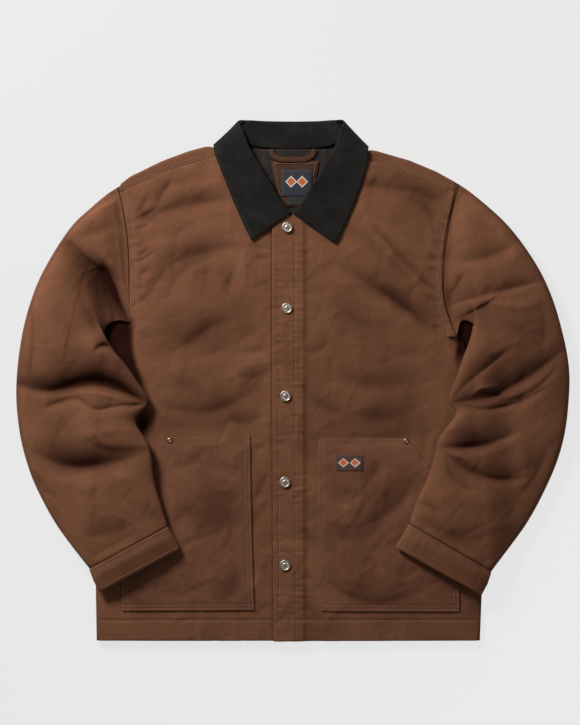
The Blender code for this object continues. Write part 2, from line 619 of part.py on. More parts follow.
def collar_frame(s):
    """Roll line, direction to the outer edge, outward normal, leaf width and stand width at s."""
    rows = np.asarray(COLLAR, float)
    roll = np.concatenate([place(rows[:, :2]), rows[:, 2:3]], -1)
    edge = np.concatenate([place(rows[:, 3:5]), rows[:, 5:6]], -1)
    table = np.concatenate([roll, edge, rows[:, 6:7]], -1)
    knots = np.linspace(0, 1, len(rows))

    def at(s):
        k = np.clip((s * (len(rows) - 1)).astype(int), 0, len(rows) - 2)
        h = 1.0 / (len(rows) - 1)
        w = ((s - knots[k]) / h)[..., None]
        slopes = np.gradient(table, knots, axis=0)
        return (
            (2 * w**3 - 3 * w**2 + 1) * table[k]
            + (w**3 - 2 * w**2 + w) * h * slopes[k]
            + (3 * w**2 - 2 * w**3) * table[k + 1]
            + (w**3 - w**2) * h * slopes[k + 1]
        )

    here = at(s)
    here[..., 2] = np.maximum(here[..., 2], 0.1)
    here[..., 5] = np.maximum(here[..., 5], 0.1)
    tangent = at(np.minimum(s + 1e-3, 1.0)) - at(np.maximum(s - 1e-3, 0.0))
    out = here[..., 3:6] - here[..., 0:3]
    width = np.linalg.norm(out, axis=-1, keepdims=True)
    out = out / width
    normal = np.cross(tangent[..., 0:3], out)
    normal /= np.maximum(np.linalg.norm(normal, axis=-1, keepdims=True), 1e-9)
    return here[..., 0:3], out, normal, width, here[..., 6:7]


def collar_leaf(s, q):
    """q below 0 curls round the roll line, q above it crosses to the outer edge."""
    s, q = np.broadcast_arrays(np.asarray(s, float), np.asarray(q, float))
    roll, out, normal, width, _ = collar_frame(s)
    angle = np.clip(-q, 0, 1)[..., None] * math.pi
    curl = COLLAR_RADIUS * (normal * (np.cos(angle) - 1.0) - out * np.sin(angle))
    flat = out * width * np.clip(q, 0, 1)[..., None]
    start = roll + out * COLLAR_RADIUS
    return start + curl + flat * (1.0 - COLLAR_RADIUS / width)


def collar_stand(s, q):
    """The stand lies against the leaf, from the roll line to the neck seam."""
    s, q = np.broadcast_arrays(np.asarray(s, float), np.asarray(q, float))
    roll, out, normal, _, stand = collar_frame(s)
    start = roll + out * (COLLAR_RADIUS + SEAM) - normal * (2.0 * COLLAR_RADIUS + 0.5)
    return start + out * (stand - COLLAR_RADIUS - SEAM) * q[..., None]


def pocket_cut(rows):
    """Flat cut of a patch pocket, with the hand slant at its top corner."""
    front, side = place(rows["front"]), place(rows["side"])
    mouth = joined(place(rows["mouth"][:2]), place(rows["mouth"][1:]), 0.52)
    low = place([rows["front"][0], rows["side"][-1]])
    return patch(lambda s: along(low, s), mouth, lambda t: along(front, t), lambda t: along(side[::-1], t))


def pocket_top(rows, under, x, y, folds=FOLDS):
    """Height of a pocket's outside: on the front, with its middle puffed up."""
    low, high = place(rows["front"][0]), place(rows["mouth"][1])
    out = place(rows["side"][-1])
    across = (x - low[0]) / (out[0] - low[0])
    up = (y - low[1]) / (high[1] - low[1])
    slant = 1.0 - up + 0.62 * np.clip(0.42 - across, -1.0, 0.0)
    rim = np.clip(np.minimum(np.minimum(across, 1.0 - across), np.minimum(up, slant)), 0.0, 1.0)
    puff = POCKET_PUFF * smooth(rim / 0.3) + fold_relief("pocket", x, y, folds)
    return under(x, y) + SEAM + POCKET_WALL + np.clip(puff, 0.0, 3.2) * smooth(rim / 0.08)


def turned(name, profile, centre, made, collection, steps=16):
    """Round metal part: a profile of radius and height spun about its own axis with a Screw modifier."""
    mesh = bpy.data.meshes.new(name)
    points = [(r * MM, 0.0, z * MM) for r, z in profile]
    mesh.from_pydata(points, [(i, i + 1) for i in range(len(points) - 1)], [])
    obj = bpy.data.objects.new(name, mesh)
    spin = obj.modifiers.new("spin", "SCREW")
    spin.steps = steps
    spin.render_steps = steps
    spin.use_merge_vertices = True
    spin.merge_threshold = 1e-6
    mesh.materials.append(made)
    obj.location = [c * MM for c in centre]
    collection.objects.link(obj)
    return obj


def flat_piece(name, rows, height, wall, made, collection, cells=(6, 6)):
    """A patch cut to four corners (bottom left, bottom right, top right, top left) and laid on what is under it."""
    corner = place(rows)

    def flat(s, t):
        s3, t3 = np.broadcast_arrays(np.asarray(s, float), np.asarray(t, float))
        s3, t3 = s3[..., None], t3[..., None]
        low = corner[0] + (corner[1] - corner[0]) * s3
        high = corner[3] + (corner[2] - corner[3]) * s3
        return low + (high - low) * t3

    surface = raised(flat, lambda x, y: height(x, y) + wall)
    grid_s, grid_t = np.meshgrid(np.linspace(0, 1, cells[0] + 1), np.linspace(0, 1, cells[1] + 1))
    outer = surface(grid_s, grid_t)
    inner = outer - np.array([0.0, 0.0, wall])
    return loft(name, outer, inner, made, collection)


def build():
    for obj in list(bpy.data.objects):
        bpy.data.objects.remove(obj, do_unlink=True)
    jacket = bpy.data.collections.new("barn_jacket")
    bpy.context.scene.collection.children.link(jacket)

    canvas = material("duck_canvas", (0.128, 0.064, 0.036), 0.86)
    canvas_dark = material("duck_canvas_back", (0.105, 0.052, 0.030), 0.88)
    black = material("moleskin_collar", (0.013, 0.012, 0.010), 0.92)
    satin = material("nylon_lining", (0.045, 0.031, 0.026), 0.42)
    navy = material("woven_neck_label", (0.016, 0.017, 0.030), 0.7)
    tag = material("woven_size_tag", (0.010, 0.010, 0.010), 0.7)
    leather = material("pocket_label_leather", (0.10, 0.04, 0.02), 0.6)
    pewter = material("antique_pewter", (0.30, 0.28, 0.26), 0.42, 1.0)
    copper = material("antique_rivet", (0.25, 0.14, 0.08), 0.45, 1.0)

    # Back.
    flat, turn = back_surface()
    s = np.concatenate([0.034 * np.linspace(0, 1, 6), np.linspace(0.08, 0.31, 5), [0.341, 0.3425, 0.42]])
    s = np.concatenate([s, 1.0 - s[::-1]])
    t = np.concatenate([np.linspace(0, 0.60, 11), [0.635, 0.655, 0.66, 0.72, 0.79, 0.86, 0.90], np.linspace(0.93, 1, 8)])
    grid_s, grid_t = np.meshgrid(s, t)
    outside, inside = rolled(flat, turn, 0.0)(grid_s, grid_t), rolled(flat, turn, WALL)(grid_s, grid_t)
    loft("back", outside, inside, canvas_dark, jacket)

    # Fronts.
    s = np.concatenate([[0, 0.02, 0.06], np.linspace(0.13, 0.50, 6), [0.56], np.linspace(0.64, 1.0, 5)])
    t = np.concatenate([np.linspace(0, 0.54, 10), [0.60, 0.635, 0.66], np.linspace(0.70, 1.0, 9)])
    shell("front_right", raised(front_patch(-1), front_height), s, t, WALL, canvas, jacket)
    s = np.concatenate([[0, 0.02, 0.06], np.linspace(0.13, 0.47, 5), [0.52, 0.60, 0.69, 0.78, 0.815, 0.835, 0.86, 0.88, 0.94, 1.0]])
    shell("front_left", raised(front_patch(1), placket_height), s, t, -WALL, canvas, jacket)

    # Pockets.
    s = np.concatenate([[0, 0.03], np.linspace(0.13, 0.45, 4), [0.52], np.linspace(0.62, 0.97, 4), [1.0]])
    grid_s, grid_t = np.meshgrid(s, np.linspace(0, 1, 11))
    for name, rows, under in (
        ("pocket_right", POCKET_LEFT, front_height),
        ("pocket_left", POCKET_RIGHT, placket_height),
    ):
        xy = pocket_cut(rows)(grid_s, grid_t)
        x, y = xy[..., 0], xy[..., 1]
        outer = np.stack([x, y, pocket_top(rows, under, x, y)], -1)
        loft(name, outer, outer - np.array([0.0, 0.0, POCKET_WALL]), canvas, jacket)

    # Sleeves, each cut in two, and their turned cuffs.
    around_top = np.linspace(0.004, 0.44, 13)
    around_under = np.concatenate([np.linspace(0.445, 0.53, 4), [0.65, 0.74, 0.81, 0.87, 0.93, 0.97, 0.996]])
    down = np.concatenate([[0.0015, 0.035], np.linspace(0.085, 0.95, 20), [0.998]])
    for side, rows, armhole, cuff in (
        ("right", SLEEVE_LEFT, ARMHOLE_LEFT, CUFF_LEFT),
        ("left", SLEEVE_RIGHT, ARMHOLE_RIGHT, CUFF_RIGHT),
    ):
        tube = sleeve_surface(rows, armhole, FOLDS, "left" if side == "right" else "right")
        for length, *ends in SLEEVE_LENGTHS:
            first, last = ends[:2] if side == "right" else ends[2:]
            reach = np.concatenate([[first], down[(down > first + 0.01) & (down < last - 0.01)], [last]])
            tube_part(f"sleeve_upper_{side}_{length}", tube, around_top, reach, WALL, canvas, jacket)
            tube_part(f"sleeve_under_{side}_{length}", tube, around_under, reach, WALL, canvas_dark, jacket)
        band = cuff_surface(cuff)
        ring = np.linspace(0.0, 0.994, 25)
        tube_part(f"cuff_{side}", band, ring, np.linspace(0.01, 1, 4), WALL + 0.4, canvas, jacket)

    # Collar: one leaf that turns round the neck, and the stand inside it.
    s = np.linspace(0, 1, 55)
    leaf_q = np.concatenate([[-0.85, -0.5, -0.2, 0.0], np.linspace(0.16, 1.0, 5)])
    shell("collar_leaf", collar_leaf, s, leaf_q, COLLAR_WALL, black, jacket)
    s = np.linspace(STAND_FROM, 1.0 - STAND_FROM, 15)
    shell("collar_stand", collar_stand, s, np.linspace(0, 1, 4), -COLLAR_WALL, black, jacket)

    # Inside the neck, only what shows: lining, facing patch, neck label, size tag and hanger loop.
    back_top = WALL

    def on_back(x, y):
        return neck_lift(x, y) + back_top + SEAM

    def on_lining(x, y):
        return on_back(x, y) + LINING_WALL + SEAM

    def on_patch(x, y):
        return on_lining(x, y) + PATCH_WALL + SEAM

    flat_piece("neck_lining", NECK_LINING, on_back, LINING_WALL, satin, jacket, (8, 8))
    flat_piece("neck_facing_patch", FACING_PATCH, on_lining, PATCH_WALL, canvas, jacket, (6, 6))
    flat_piece("neck_label", NECK_LABEL, on_patch, LABEL_WALL, navy, jacket, (4, 4))
    flat_piece("size_tag", SIZE_TAG, on_patch, LABEL_WALL, tag, jacket, (2, 2))

    # Hanger loop: a flat strap bent twice.
    path = place(HANGER_LOOP)
    at = np.linspace(0, 1, 25)
    line = along(path, at)
    run = np.gradient(line, axis=0)
    run /= np.linalg.norm(run, axis=1, keepdims=True)
    side = np.stack([-run[:, 1], run[:, 0]], -1) * LOOP_WIDTH / 2
    rows = np.stack([line - side, line, line + side])
    rise = on_lining(rows[..., 0], rows[..., 1]) + 0.2 + LOOP_RISE * np.sin(np.pi * at) ** 0.5
    rise[1] += 0.5
    top = np.concatenate([rows, (rise + LOOP_WALL)[..., None]], -1)
    loft("hanger_loop", top, top - np.array([0, 0, LOOP_WALL]), canvas, jacket)

    # Snaps, rivets and the pocket's label.
    cap = [(0, 0), (7.2, 0), (8.0, 0.8), (7.7, 2.4), (6.6, 3.0), (5.5, 2.3), (3.9, 2.0), (3.5, 2.7), (0, 2.9)]
    for i, (x, y) in enumerate(SNAPS):
        centre = place((x, y))
        rest = placket_height(centre[:1], centre[1:])[0]
        turned(f"snap_{i + 1}", cap[::-1], (*centre, rest + SEAM + SNAP_SEAT), pewter, jacket)
    head = [(0, 0), (3.4, 0), (4.0, 0.6), (3.2, 1.5), (1.6, 1.7), (1.2, 1.2), (0, 1.1)]
    for name, (x, y), under in (("right", RIVETS[0], front_height), ("left", RIVETS[1], placket_height)):
        centre = place((x, y))
        rest = under(centre[:1], centre[1:])[0] + SEAM + WALL - 0.4
        turned(f"rivet_{name}", head[::-1], (*centre, rest + SEAM + SNAP_SEAT), copper, jacket, 14)
    flat_piece(
        "pocket_label",
        POCKET_LABEL,
        lambda x, y: pocket_top(POCKET_RIGHT, placket_height, x, y) + SEAM,
        LABEL_WALL,
        leather,
        jacket,
        (4, 3),
    )
    return jacket


build()
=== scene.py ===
# %% [markdown]
# A canvas barn jacket lies on its back on a pale table, snaps fastened, seen from straight above.
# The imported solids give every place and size. This script dresses them: each cloth panel becomes a
# thin shell with its own folds, then come the threads, the metal, the colours, the light and the camera.

# %% Load the frame
import math

import bpy
import numpy as np
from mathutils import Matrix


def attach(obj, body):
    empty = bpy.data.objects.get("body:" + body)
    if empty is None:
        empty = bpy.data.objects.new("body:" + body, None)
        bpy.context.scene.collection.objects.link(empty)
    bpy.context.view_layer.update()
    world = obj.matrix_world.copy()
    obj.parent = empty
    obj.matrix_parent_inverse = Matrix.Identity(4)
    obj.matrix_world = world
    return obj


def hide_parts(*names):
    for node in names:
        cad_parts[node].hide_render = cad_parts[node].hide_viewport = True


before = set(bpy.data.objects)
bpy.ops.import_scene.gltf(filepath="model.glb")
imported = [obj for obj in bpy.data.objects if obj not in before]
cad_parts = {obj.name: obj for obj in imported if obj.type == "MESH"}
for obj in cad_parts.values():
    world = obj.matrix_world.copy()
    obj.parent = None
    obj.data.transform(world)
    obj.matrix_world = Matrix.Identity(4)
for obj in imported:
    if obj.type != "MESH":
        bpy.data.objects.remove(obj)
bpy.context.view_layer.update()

# %% [markdown]
# A tailor draws a pattern on squared paper. The tables below do the same: places are in squares, and one
# function turns them into millimetres from the middle of the jacket. Heights are millimetres above the table.

# %% The squared paper
SQUARE = 1.45
CENTRE = np.array([293.0, 380.0])
MM = 0.001


def place(rows):
    """x = (column - 293) * 1.45 and y = (380 - row) * 1.45, in millimetres."""
    rows = np.asarray(rows, float)
    out = rows.copy()
    out[..., 0] = (rows[..., 0] - CENTRE[0]) * SQUARE
    out[..., 1] = (CENTRE[1] - rows[..., 1]) * SQUARE
    return out


def smooth(a):
    """0 to 1 with level ends: 3 a squared minus 2 a cubed."""
    a = np.clip(a, 0.0, 1.0)
    return a * a * (3.0 - 2.0 * a)


def arc_length(line):
    """Sum of the steps from the first point to each point."""
    return np.concatenate([[0.0], np.cumsum(np.linalg.norm(np.diff(line, axis=0), axis=1))])


def read_off(table, knots, at):
    """Straight lines between a table's rows, column by column."""
    return np.stack([np.interp(at, knots, column) for column in table.T], -1)


def along(rows, at):
    """Cubic pieces through the rows in chord length, read at 0 to 1."""
    rows = np.asarray(rows, float)
    at = np.clip(np.asarray(at, float), 0.0, 1.0)
    knots = arc_length(rows[:, :2])
    return hermite(rows, knots / knots[-1], at)


def hermite(rows, knots, at):
    """Between two rows: the cubic that leaves and meets them with the table's own slopes."""
    slope = np.gradient(rows, knots, axis=0)
    k = np.clip(np.searchsorted(knots, at, side="right") - 1, 0, len(rows) - 2)
    h = (knots[k + 1] - knots[k])[..., None]
    t = (at - knots[k])[..., None] / h
    start = (2 * t**3 - 3 * t**2 + 1) * rows[k] + (t**3 - 2 * t**2 + t) * h * slope[k]
    return start + (3 * t**2 - 2 * t**3) * rows[k + 1] + (t**3 - t**2) * h * slope[k + 1]


def joined(first, second, share):
    """Two curves end to end, the first taking this share of 0 to 1, with a sharp corner."""

    def curve(at):
        at = np.asarray(at, float)
        after = along(second, (at - share) / (1.0 - share))
        return np.where((at < share)[..., None], along(first, at / share), after)

    return curve


# %% [markdown]
# The body's outline, its seams and the walls. These are the sizes that the solids were built to. Two more are
# used all through: the underarm lies 84 mm above the middle, and front and back pressed flat on each other
# are 5.4 mm thick.

# %% Sizes of the body
WALL = 2.4
SEAM = 0.4
ROLL_RADIUS = 4.2
COLLAR_RADIUS = 2.6
BODY_EDGE, BODY_MIDDLE = 8.4, 12.5
NECK_LIFT = 3.6
OVERLAP_STEP = 3.1
ARM_FLOOR = 56.0
UNDERARM = 84.0
PRESSED = 5.4
SIDE_SEAM_INSET = 3.0
EDGE_UNDER = 299.0
HEM_Y = 640.4
HEM_LEVEL = (CENTRE[1] - HEM_Y) * SQUARE
LINING_WALL, PATCH_WALL, LABEL_WALL, POCKET_WALL = 1.0, 1.2, 0.7, 2.0
SIDES = [
    # y, left, right
    (322, 131.0, 452.0),
    (330, 113.0, 462.0),
    (340, 107.5, 466.0),
    (352, 106.0, 470.0),
    (420, 102.0, 475.0),
    (520, 97.5, 480.5),
    (582, 95.2, 482.7),
    (640, 96.2, 480.4),
]
SHOULDERS = [
    # x, y
    (117, 186), (130, 176), (161, 160.8), (187, 151), (207, 145.6), (214, 147), (222, 149), (240, 147),
    (292, 146), (345, 148), (358, 151), (367, 150.4), (374, 149.6), (410, 160), (438, 171.8), (459.5, 184),
]
FORWARD_SEAM_LEFT = [(120.0, 191.7), (141, 183.6), (169, 170.6), (192, 163.7), (216, 157.0), (239, 152.5)]
FORWARD_SEAM_RIGHT = [(454.4, 190.9), (419.5, 177.2), (393.6, 167), (368.6, 160.6), (346, 153.5)]
ARMHOLE_LEFT = [(120.0, 191.7), (123, 204.5), (127.6, 232), (129.6, 257), (129.8, 285), (131, 322)]
ARMHOLE_RIGHT = [(454.4, 190.9), (451.4, 204), (444.4, 241), (442, 268), (444, 303), (456, 336)]
NECK_LEFT = [(239, 152.5), (245, 166), (254, 184), (266, 201), (280, 212), (300, 215)]
NECK_RIGHT = [(346, 153.5), (340, 167), (329, 186), (315, 202), (300, 213), (285, 216), (272.4, 217)]


def side_edges(y):
    """Left and right outline of the body at this height: straight lines between the table's rows."""
    table = np.asarray(SIDES, float)
    level = (table[:, 0] - CENTRE[1]) * SQUARE
    left = np.interp(-y, level, (table[:, 1] - CENTRE[0]) * SQUARE)
    right = np.interp(-y, level, (table[:, 2] - CENTRE[0]) * SQUARE)
    return left, right


def shoulder_fold(x):
    """Where the back turns over the shoulder on to the front."""
    table = place(SHOULDERS)
    return np.interp(x, table[:, 0], table[:, 1])


def neck_lift(x, y):
    """The back panel rises over the collar's back leaf, which lies under it."""
    return NECK_LIFT * smooth((126.0 - np.abs(x + 2.0)) / 26.0) * smooth((y - 250.0) / 60.0)


# %% [markdown]
# Cloth never lies quite flat. Three things move it here: folds that were read off the jacket one by one,
# a faint ripple all over, and puckers where a seam has drawn the cloth in. All three are plain sums of
# smooth bumps, so they can be worked out for a whole panel at once.

# %% Folds of the fronts and pockets
BODY_FOLDS = [
    # x1, y1, x2, y2, x3, y3, x4, y4, left width, right width, depth (mm; below 0 is a ridge), roundness
    # Front at the left of the picture. A fold's left and right are seen from its first point to its last.
    (232, 200, 205, 201, 175, 207, 143, 219, 7, 13, 4.2, 0.8),
    (171, 181, 165, 190, 160, 197, 156, 205, 4, 6, 2.4, 0.6),
    (150, 192, 146, 200, 142, 207, 137, 215, 4, 5, 2.4, 0.6),
    (137, 219, 143, 219, 150, 220, 158, 223, 4, 3, 1.9, 0.5),
    (238, 246, 208, 251, 175, 262, 146, 297, 7, 12, 3.9, 0.8),
    (218, 256, 196, 262, 178, 276, 166, 300, 5, 8, 1.9, 0.8),
    (236, 266, 232, 276, 230, 286, 227, 297, 4, 8, 2.2, 0.6),
    (232, 319, 210, 327, 192, 340, 170, 353, 6, 9, 2.6, 0.7),
    (262, 326, 246, 336, 228, 348, 206, 356, 6, 10, 1.6, 0.8),
    (243, 247, 252, 246, 262, 248, 272, 250, 4, 3, 1.4, 0.5),
    (252, 260, 258, 258, 264, 258, 270, 259, 4, 3, 1.3, 0.5),
    (254, 289, 260, 285, 266, 284, 272, 287, 4, 3, 1.7, 0.4),
    (254, 296, 260, 293, 266, 292, 272, 294, 4, 3, 1.0, 0.5),
    (234, 353, 248, 352, 262, 351, 272, 351, 5, 3, 1.5, 0.5),
    (243, 387, 252, 379, 262, 374, 272, 370, 6, 4, 2.2, 0.5),
    (272, 371, 250, 392, 236, 402, 205, 411, 6, 11, 2.5, 0.7),
    (164, 405, 186, 411, 208, 412, 236, 402, 11, 6, 2.2, 0.7),
    (168, 372, 176, 380, 188, 388, 205, 396, 12, 8, 1.8, 0.8),
    (226, 418, 240, 422, 250, 423, 262, 418, 8, 5, 2.0, 0.6),
    (269, 474, 264, 482, 260, 490, 257, 500, 4, 6, 1.8, 0.5),
    (270, 500, 262, 512, 256, 520, 254, 532, 5, 7, 1.5, 0.6),
    (272, 552, 266, 566, 262, 574, 258, 580, 5, 7, 1.4, 0.6),
    (270, 604, 262, 610, 258, 614, 254, 618, 4, 6, 1.3, 0.6),
    # Front at the right of the picture.
    (362, 184, 385, 187, 412, 190, 446, 204, 13, 7, 4.4, 0.7),
    (409, 199, 420, 204, 430, 212, 438, 226, 8, 5, 2.8, 0.6),
    (346, 226, 356, 232, 366, 240, 374, 250, 9, 6, 1.5, 0.8),
    (372, 226, 392, 246, 412, 268, 436, 290, 5, 2.6, 3.2, 0.4),
    (366, 236, 384, 256, 402, 272, 424, 290, 9, 6, 1.7, 0.7),
    (343, 266, 368, 282, 402, 304, 441, 337, 14, 7, 5.6, 0.7),
    (330, 300, 350, 316, 372, 326, 396, 332, 11, 8, 1.8, 0.8),
    (306, 353, 314, 352, 322, 349, 330, 341, 6, 4, 1.7, 0.6),
    (300, 384, 312, 398, 326, 408, 346, 415, 9, 6, 2.5, 0.7),
    (340, 372, 362, 382, 392, 384, 424, 378, 15, 9, 2.2, 0.8),
    (350, 414, 372, 418, 396, 416, 424, 404, 12, 8, 1.9, 0.8),
    (300, 430, 306, 436, 312, 440, 318, 440, 6, 4, 1.4, 0.6),
    (300, 452, 306, 455, 311, 458, 316, 462, 6, 4, 1.3, 0.6),
    (300, 528, 306, 534, 311, 540, 316, 550, 6, 4, 1.3, 0.6),
    (300, 574, 306, 578, 312, 580, 319, 580, 6, 4, 1.4, 0.6),
    (304, 588, 308, 600, 314, 612, 322, 618, 6, 4, 1.6, 0.6),
    (478, 600, 474, 606, 468, 612, 462, 618, 4, 6, 1.5, 0.6),
    (272, 300, 280, 298, 288, 300, 296, 303, 4, 3, 0.8, 0.6),
    (274, 340, 282, 344, 290, 344, 297, 340, 4, 3, 0.8, 0.6),
    (274, 366, 282, 364, 290, 365, 297, 368, 4, 3, 0.7, 0.6),
    (274, 430, 282, 434, 290, 434, 297, 430, 4, 3, 0.7, 0.6),
    (274, 520, 282, 524, 289, 528, 297, 530, 4, 3, 1.0, 0.6),
    (274, 548, 282, 550, 289, 553, 297, 558, 4, 3, 1.0, 0.6),
    (296, 448, 340, 442, 392, 438, 446, 430, 62, 12, 2.8, 0.8),
    (136, 330, 170, 338, 216, 336, 268, 322, 44, 20, 2.4, 0.9),
    (150, 428, 180, 426, 214, 424, 262, 428, 40, 14, 2.4, 0.9),
    (306, 336, 340, 344, 384, 348, 430, 346, 40, 24, 1.1, 0.9),
]
POCKET_FOLDS = [
    # the same columns
    (186, 520, 200, 522, 220, 518, 242, 508, 34, 16, 2.6, 0.9),
    (356, 532, 388, 508, 404, 492, 417, 470, 15, 8, 4.0, 0.8),
    (376, 452, 373, 472, 366, 486, 352, 500, 7, 11, 2.2, 0.7),
    (325, 544, 330, 549, 335, 550, 340, 548, 5, 3, 1.7, 0.5),
    (324, 577, 345, 592, 378, 601, 410, 596, 10, 4, 3.9, 0.6),
    (386, 601, 402, 594, 422, 588, 440, 582, 7, 4, 2.2, 0.6),
    (396, 574, 404, 576, 412, 573, 418, 568, 6, 4, 1.6, 0.6),
    (328, 490, 338, 494, 348, 492, 356, 486, 10, 6, 1.7, 0.7),
    (330, 520, 345, 534, 365, 537, 384, 524, 14, 8, 2.2, 0.8),
    (206, 448, 198, 455, 190, 461, 178, 467, 5, 9, 2.4, 0.6),
    (214, 460, 224, 466, 234, 468, 244, 465, 10, 7, 1.7, 0.7),
    (220, 494, 228, 498, 236, 498, 244, 494, 9, 6, 1.6, 0.7),
    (246, 506, 226, 514, 210, 520, 196, 532, 9, 13, 1.5, 0.8),
    (152, 592, 170, 591, 184, 590, 202, 586, 8, 5, 2.3, 0.6),
    (242, 574, 236, 582, 228, 594, 216, 605, 5, 7, 2.2, 0.6),
    (128, 594, 134, 600, 142, 603, 154, 604, 6, 4, 1.6, 0.6),
]
ARMHOLE_GATHERS = [
    # first x, y, last x, y, how many, length x, y of the first, of the last, depth (mm)
    (135.5, 219.0, 138.5, 300.0, 10, 17.0, -9.0, 8.0, -5.0, 1.7),
    (441.0, 262.0, 437.0, 282.0, 3, -9.0, -6.0, -12.0, -9.0, 1.3),
    (437.0, 290.0, 443.0, 328.0, 5, -13.0, -10.0, -10.0, -3.0, 1.9),
]
GATHER_WIDTHS = (3.4, 2.2)


def gathers(x1, y1, x2, y2, count, dx1, dy1, dx2, dy2, depth):
    """Short folds at even steps from the first place to the last; a sine of the number makes them uneven."""
    rows = []
    for k in range(count):
        a = k / (count - 1)
        wobble = 0.9 + 0.45 * math.sin(5.1 * k + 1.3)
        x, y = x1 + (x2 - x1) * a, y1 + (y2 - y1) * a + 2.6 * math.sin(2.3 * k)
        dx, dy = (dx1 + (dx2 - dx1) * a) * wobble, (dy1 + (dy2 - dy1) * a) * wobble
        middle = [x + dx * 0.35, y + dy * 0.25, x + dx * 0.7, y + dy * 0.62]
        rows.append((x, y, *middle, x + dx, y + dy, *GATHER_WIDTHS, depth * wobble, 0.5))
    return rows


# %% [markdown]
# The sleeves carry the strong folds. The jacket was lit from beyond its right shoulder, so a long slope that
# falls away from the light is a broad dark band, and the short slope that climbs out of the crease is a
# bright line. That is why every fold has one width for each of its sides.

# %% Folds of the sleeves at the left and right of the picture
LEFT_SLEEVE_FOLDS = [
    # x1, y1, x2, y2, x3, y3, x4, y4, left width, right width, depth (mm; below 0 is a ridge), roundness
    (126, 196, 100, 210, 80, 221, 60, 240, 42, 7, -9.0, 0.25),
    (74, 228, 56, 247, 46, 266, 38, 296, 14, 6, -3.4, 0.4),
    (58, 230, 76, 249, 89, 261, 112, 275, 6, 24, 8.6, 0.3),
    (62, 246, 80, 239, 98, 233, 116, 226, 15, 12, 3.4, 0.8),
    (76, 258, 86, 274, 98, 292, 114, 314, 22, 26, 3.6, 0.9),
    (104, 264, 112, 281, 120, 303, 136, 336, 4.5, 24, 13.0, 0.25),
    (118, 240, 121, 262, 124, 284, 128, 306, 5, 6, -1.8, 0.5),
    (84, 300, 92, 318, 98, 330, 104, 342, 6, 12, 3.2, 0.6),
    (60, 300, 64, 320, 74, 338, 90, 352, 14, 10, 2.2, 0.9),
    (31, 300, 34, 322, 33.6, 346, 32, 374, 6, 3, 2.8, 0.3),
    (0, 378, 44, 390, 98, 382, 162, 409, 18, 4.5, 13.5, 0.2),
    (20, 368, 56, 391, 103, 387, 160, 408, 56, 9, 3.8, 0.3),
    (44, 409, 61, 402, 77, 399, 88, 403, 6, 4, 4.2, 0.25),
    (84, 402, 96, 409, 118, 406, 147, 404, 6, 4, 4.4, 0.25),
    (66, 396, 80, 392, 100, 394, 118, 399, 5, 4, -1.6, 0.4),
    (32, 450, 67, 464, 105, 462, 152, 450, 26, 10, 11.5, 0.35),
    (92, 444, 112, 450, 132, 450, 152, 447, 12, 6, 4.0, 0.4),
    (70, 436, 92, 432, 116, 430, 138, 433, 9, 12, -2.4, 0.8),
    (128, 408, 136, 405, 141, 405, 148, 404, 3, 4, 3.0, 0.3),
    (96, 352, 103, 346, 110, 346, 120, 355, 6, 3.5, 7.5, 0.3),
    (36, 470, 40, 482, 46, 492, 58, 498, 8, 4, 3.6, 0.4),
    (150, 500, 154, 510, 158, 516, 164, 520, 5, 5, 2.2, 0.5),
    (66, 520, 90, 534, 116, 530, 152, 516, 16, 10, 3.2, 0.8),
    (90, 558, 104, 550, 120, 541, 140, 530, 6, 4, 1.6, 0.5),
    (60, 480, 84, 486, 110, 484, 140, 474, 14, 12, -1.6, 0.9),
]
RIGHT_SLEEVE_FOLDS = [
    # the same columns
    (444, 307, 470, 299, 505, 290, 546, 281, 15, 3.2, 5.6, 0.2),
    (456, 320, 474, 311, 488, 303, 503, 292, 3.5, 22, 5.4, 0.15),
    (484, 300, 504, 306, 520, 308, 542, 300, 8, 8, -2.6, 0.5),
    (463, 274, 458, 284, 453, 292, 448, 302, 5, 5, 3.8, 0.4),
    (449, 258, 466, 261, 490, 256, 524, 240, 17, 6, 4.6, 0.5),
    (498, 226, 510, 244, 524, 262, 540, 282, 6, 16, -2.6, 0.5),
    (462, 214, 474, 222, 488, 230, 500, 234, 10, 8, 2.0, 0.8),
    (539, 298, 543, 314, 544, 330, 540, 352, 7, 6, 1.6, 0.8),
    (500, 318, 514, 330, 534, 336, 556, 330, 14, 12, 2.6, 0.9),
    (508, 350, 490, 364, 470, 380, 450, 399, 4, 10, 4.5, 0.25),
    (444, 403, 490, 396, 520, 381, 568, 347, 16, 5.0, 7.8, 0.2),
    (444, 406, 490, 399, 520, 384, 572, 350, 46, 8, 3.0, 0.3),
    (470, 396, 480, 388, 490, 387, 503, 388, 4, 4, -3.0, 0.3),
    (472, 397, 482, 393, 492, 393, 502, 395, 3, 3, 3.6, 0.3),
    (500, 402, 520, 397, 542, 383, 558, 364, 5, 4, 3.6, 0.25),
    (450, 403, 480, 409, 512, 404, 548, 387, 6, 4, 5.4, 0.25),
    (438, 446, 462, 446, 490, 442, 514, 434, 19, 5, 12.0, 0.25),
    (441, 449, 452, 453, 464, 458, 476, 466, 4, 4, -2.4, 0.35),
    (444, 452, 466, 469, 492, 478, 524, 479, 12, 5, 8.0, 0.25),
    (508, 434, 518, 446, 524, 460, 524, 476, 6, 12, -2.2, 0.6),
    (444, 458, 450, 474, 458, 484, 474, 492, 6, 4, 3.0, 0.4),
    (546, 450, 540, 466, 532, 480, 520, 494, 10, 6, 3.2, 0.7),
    (413, 505, 420, 503, 430, 506, 438, 514, 6, 4, 3.4, 0.3),
    (424, 520, 444, 532, 468, 538, 500, 532, 16, 10, 3.0, 0.8),
    (440, 490, 462, 500, 488, 502, 514, 496, 14, 12, -1.6, 0.9),
    (412, 514, 436, 528, 460, 543, 486, 560, 5, 4, 1.4, 0.4),
]
FOLDS = [("body", *row) for row in BODY_FOLDS] + [("pocket", *row) for row in POCKET_FOLDS]
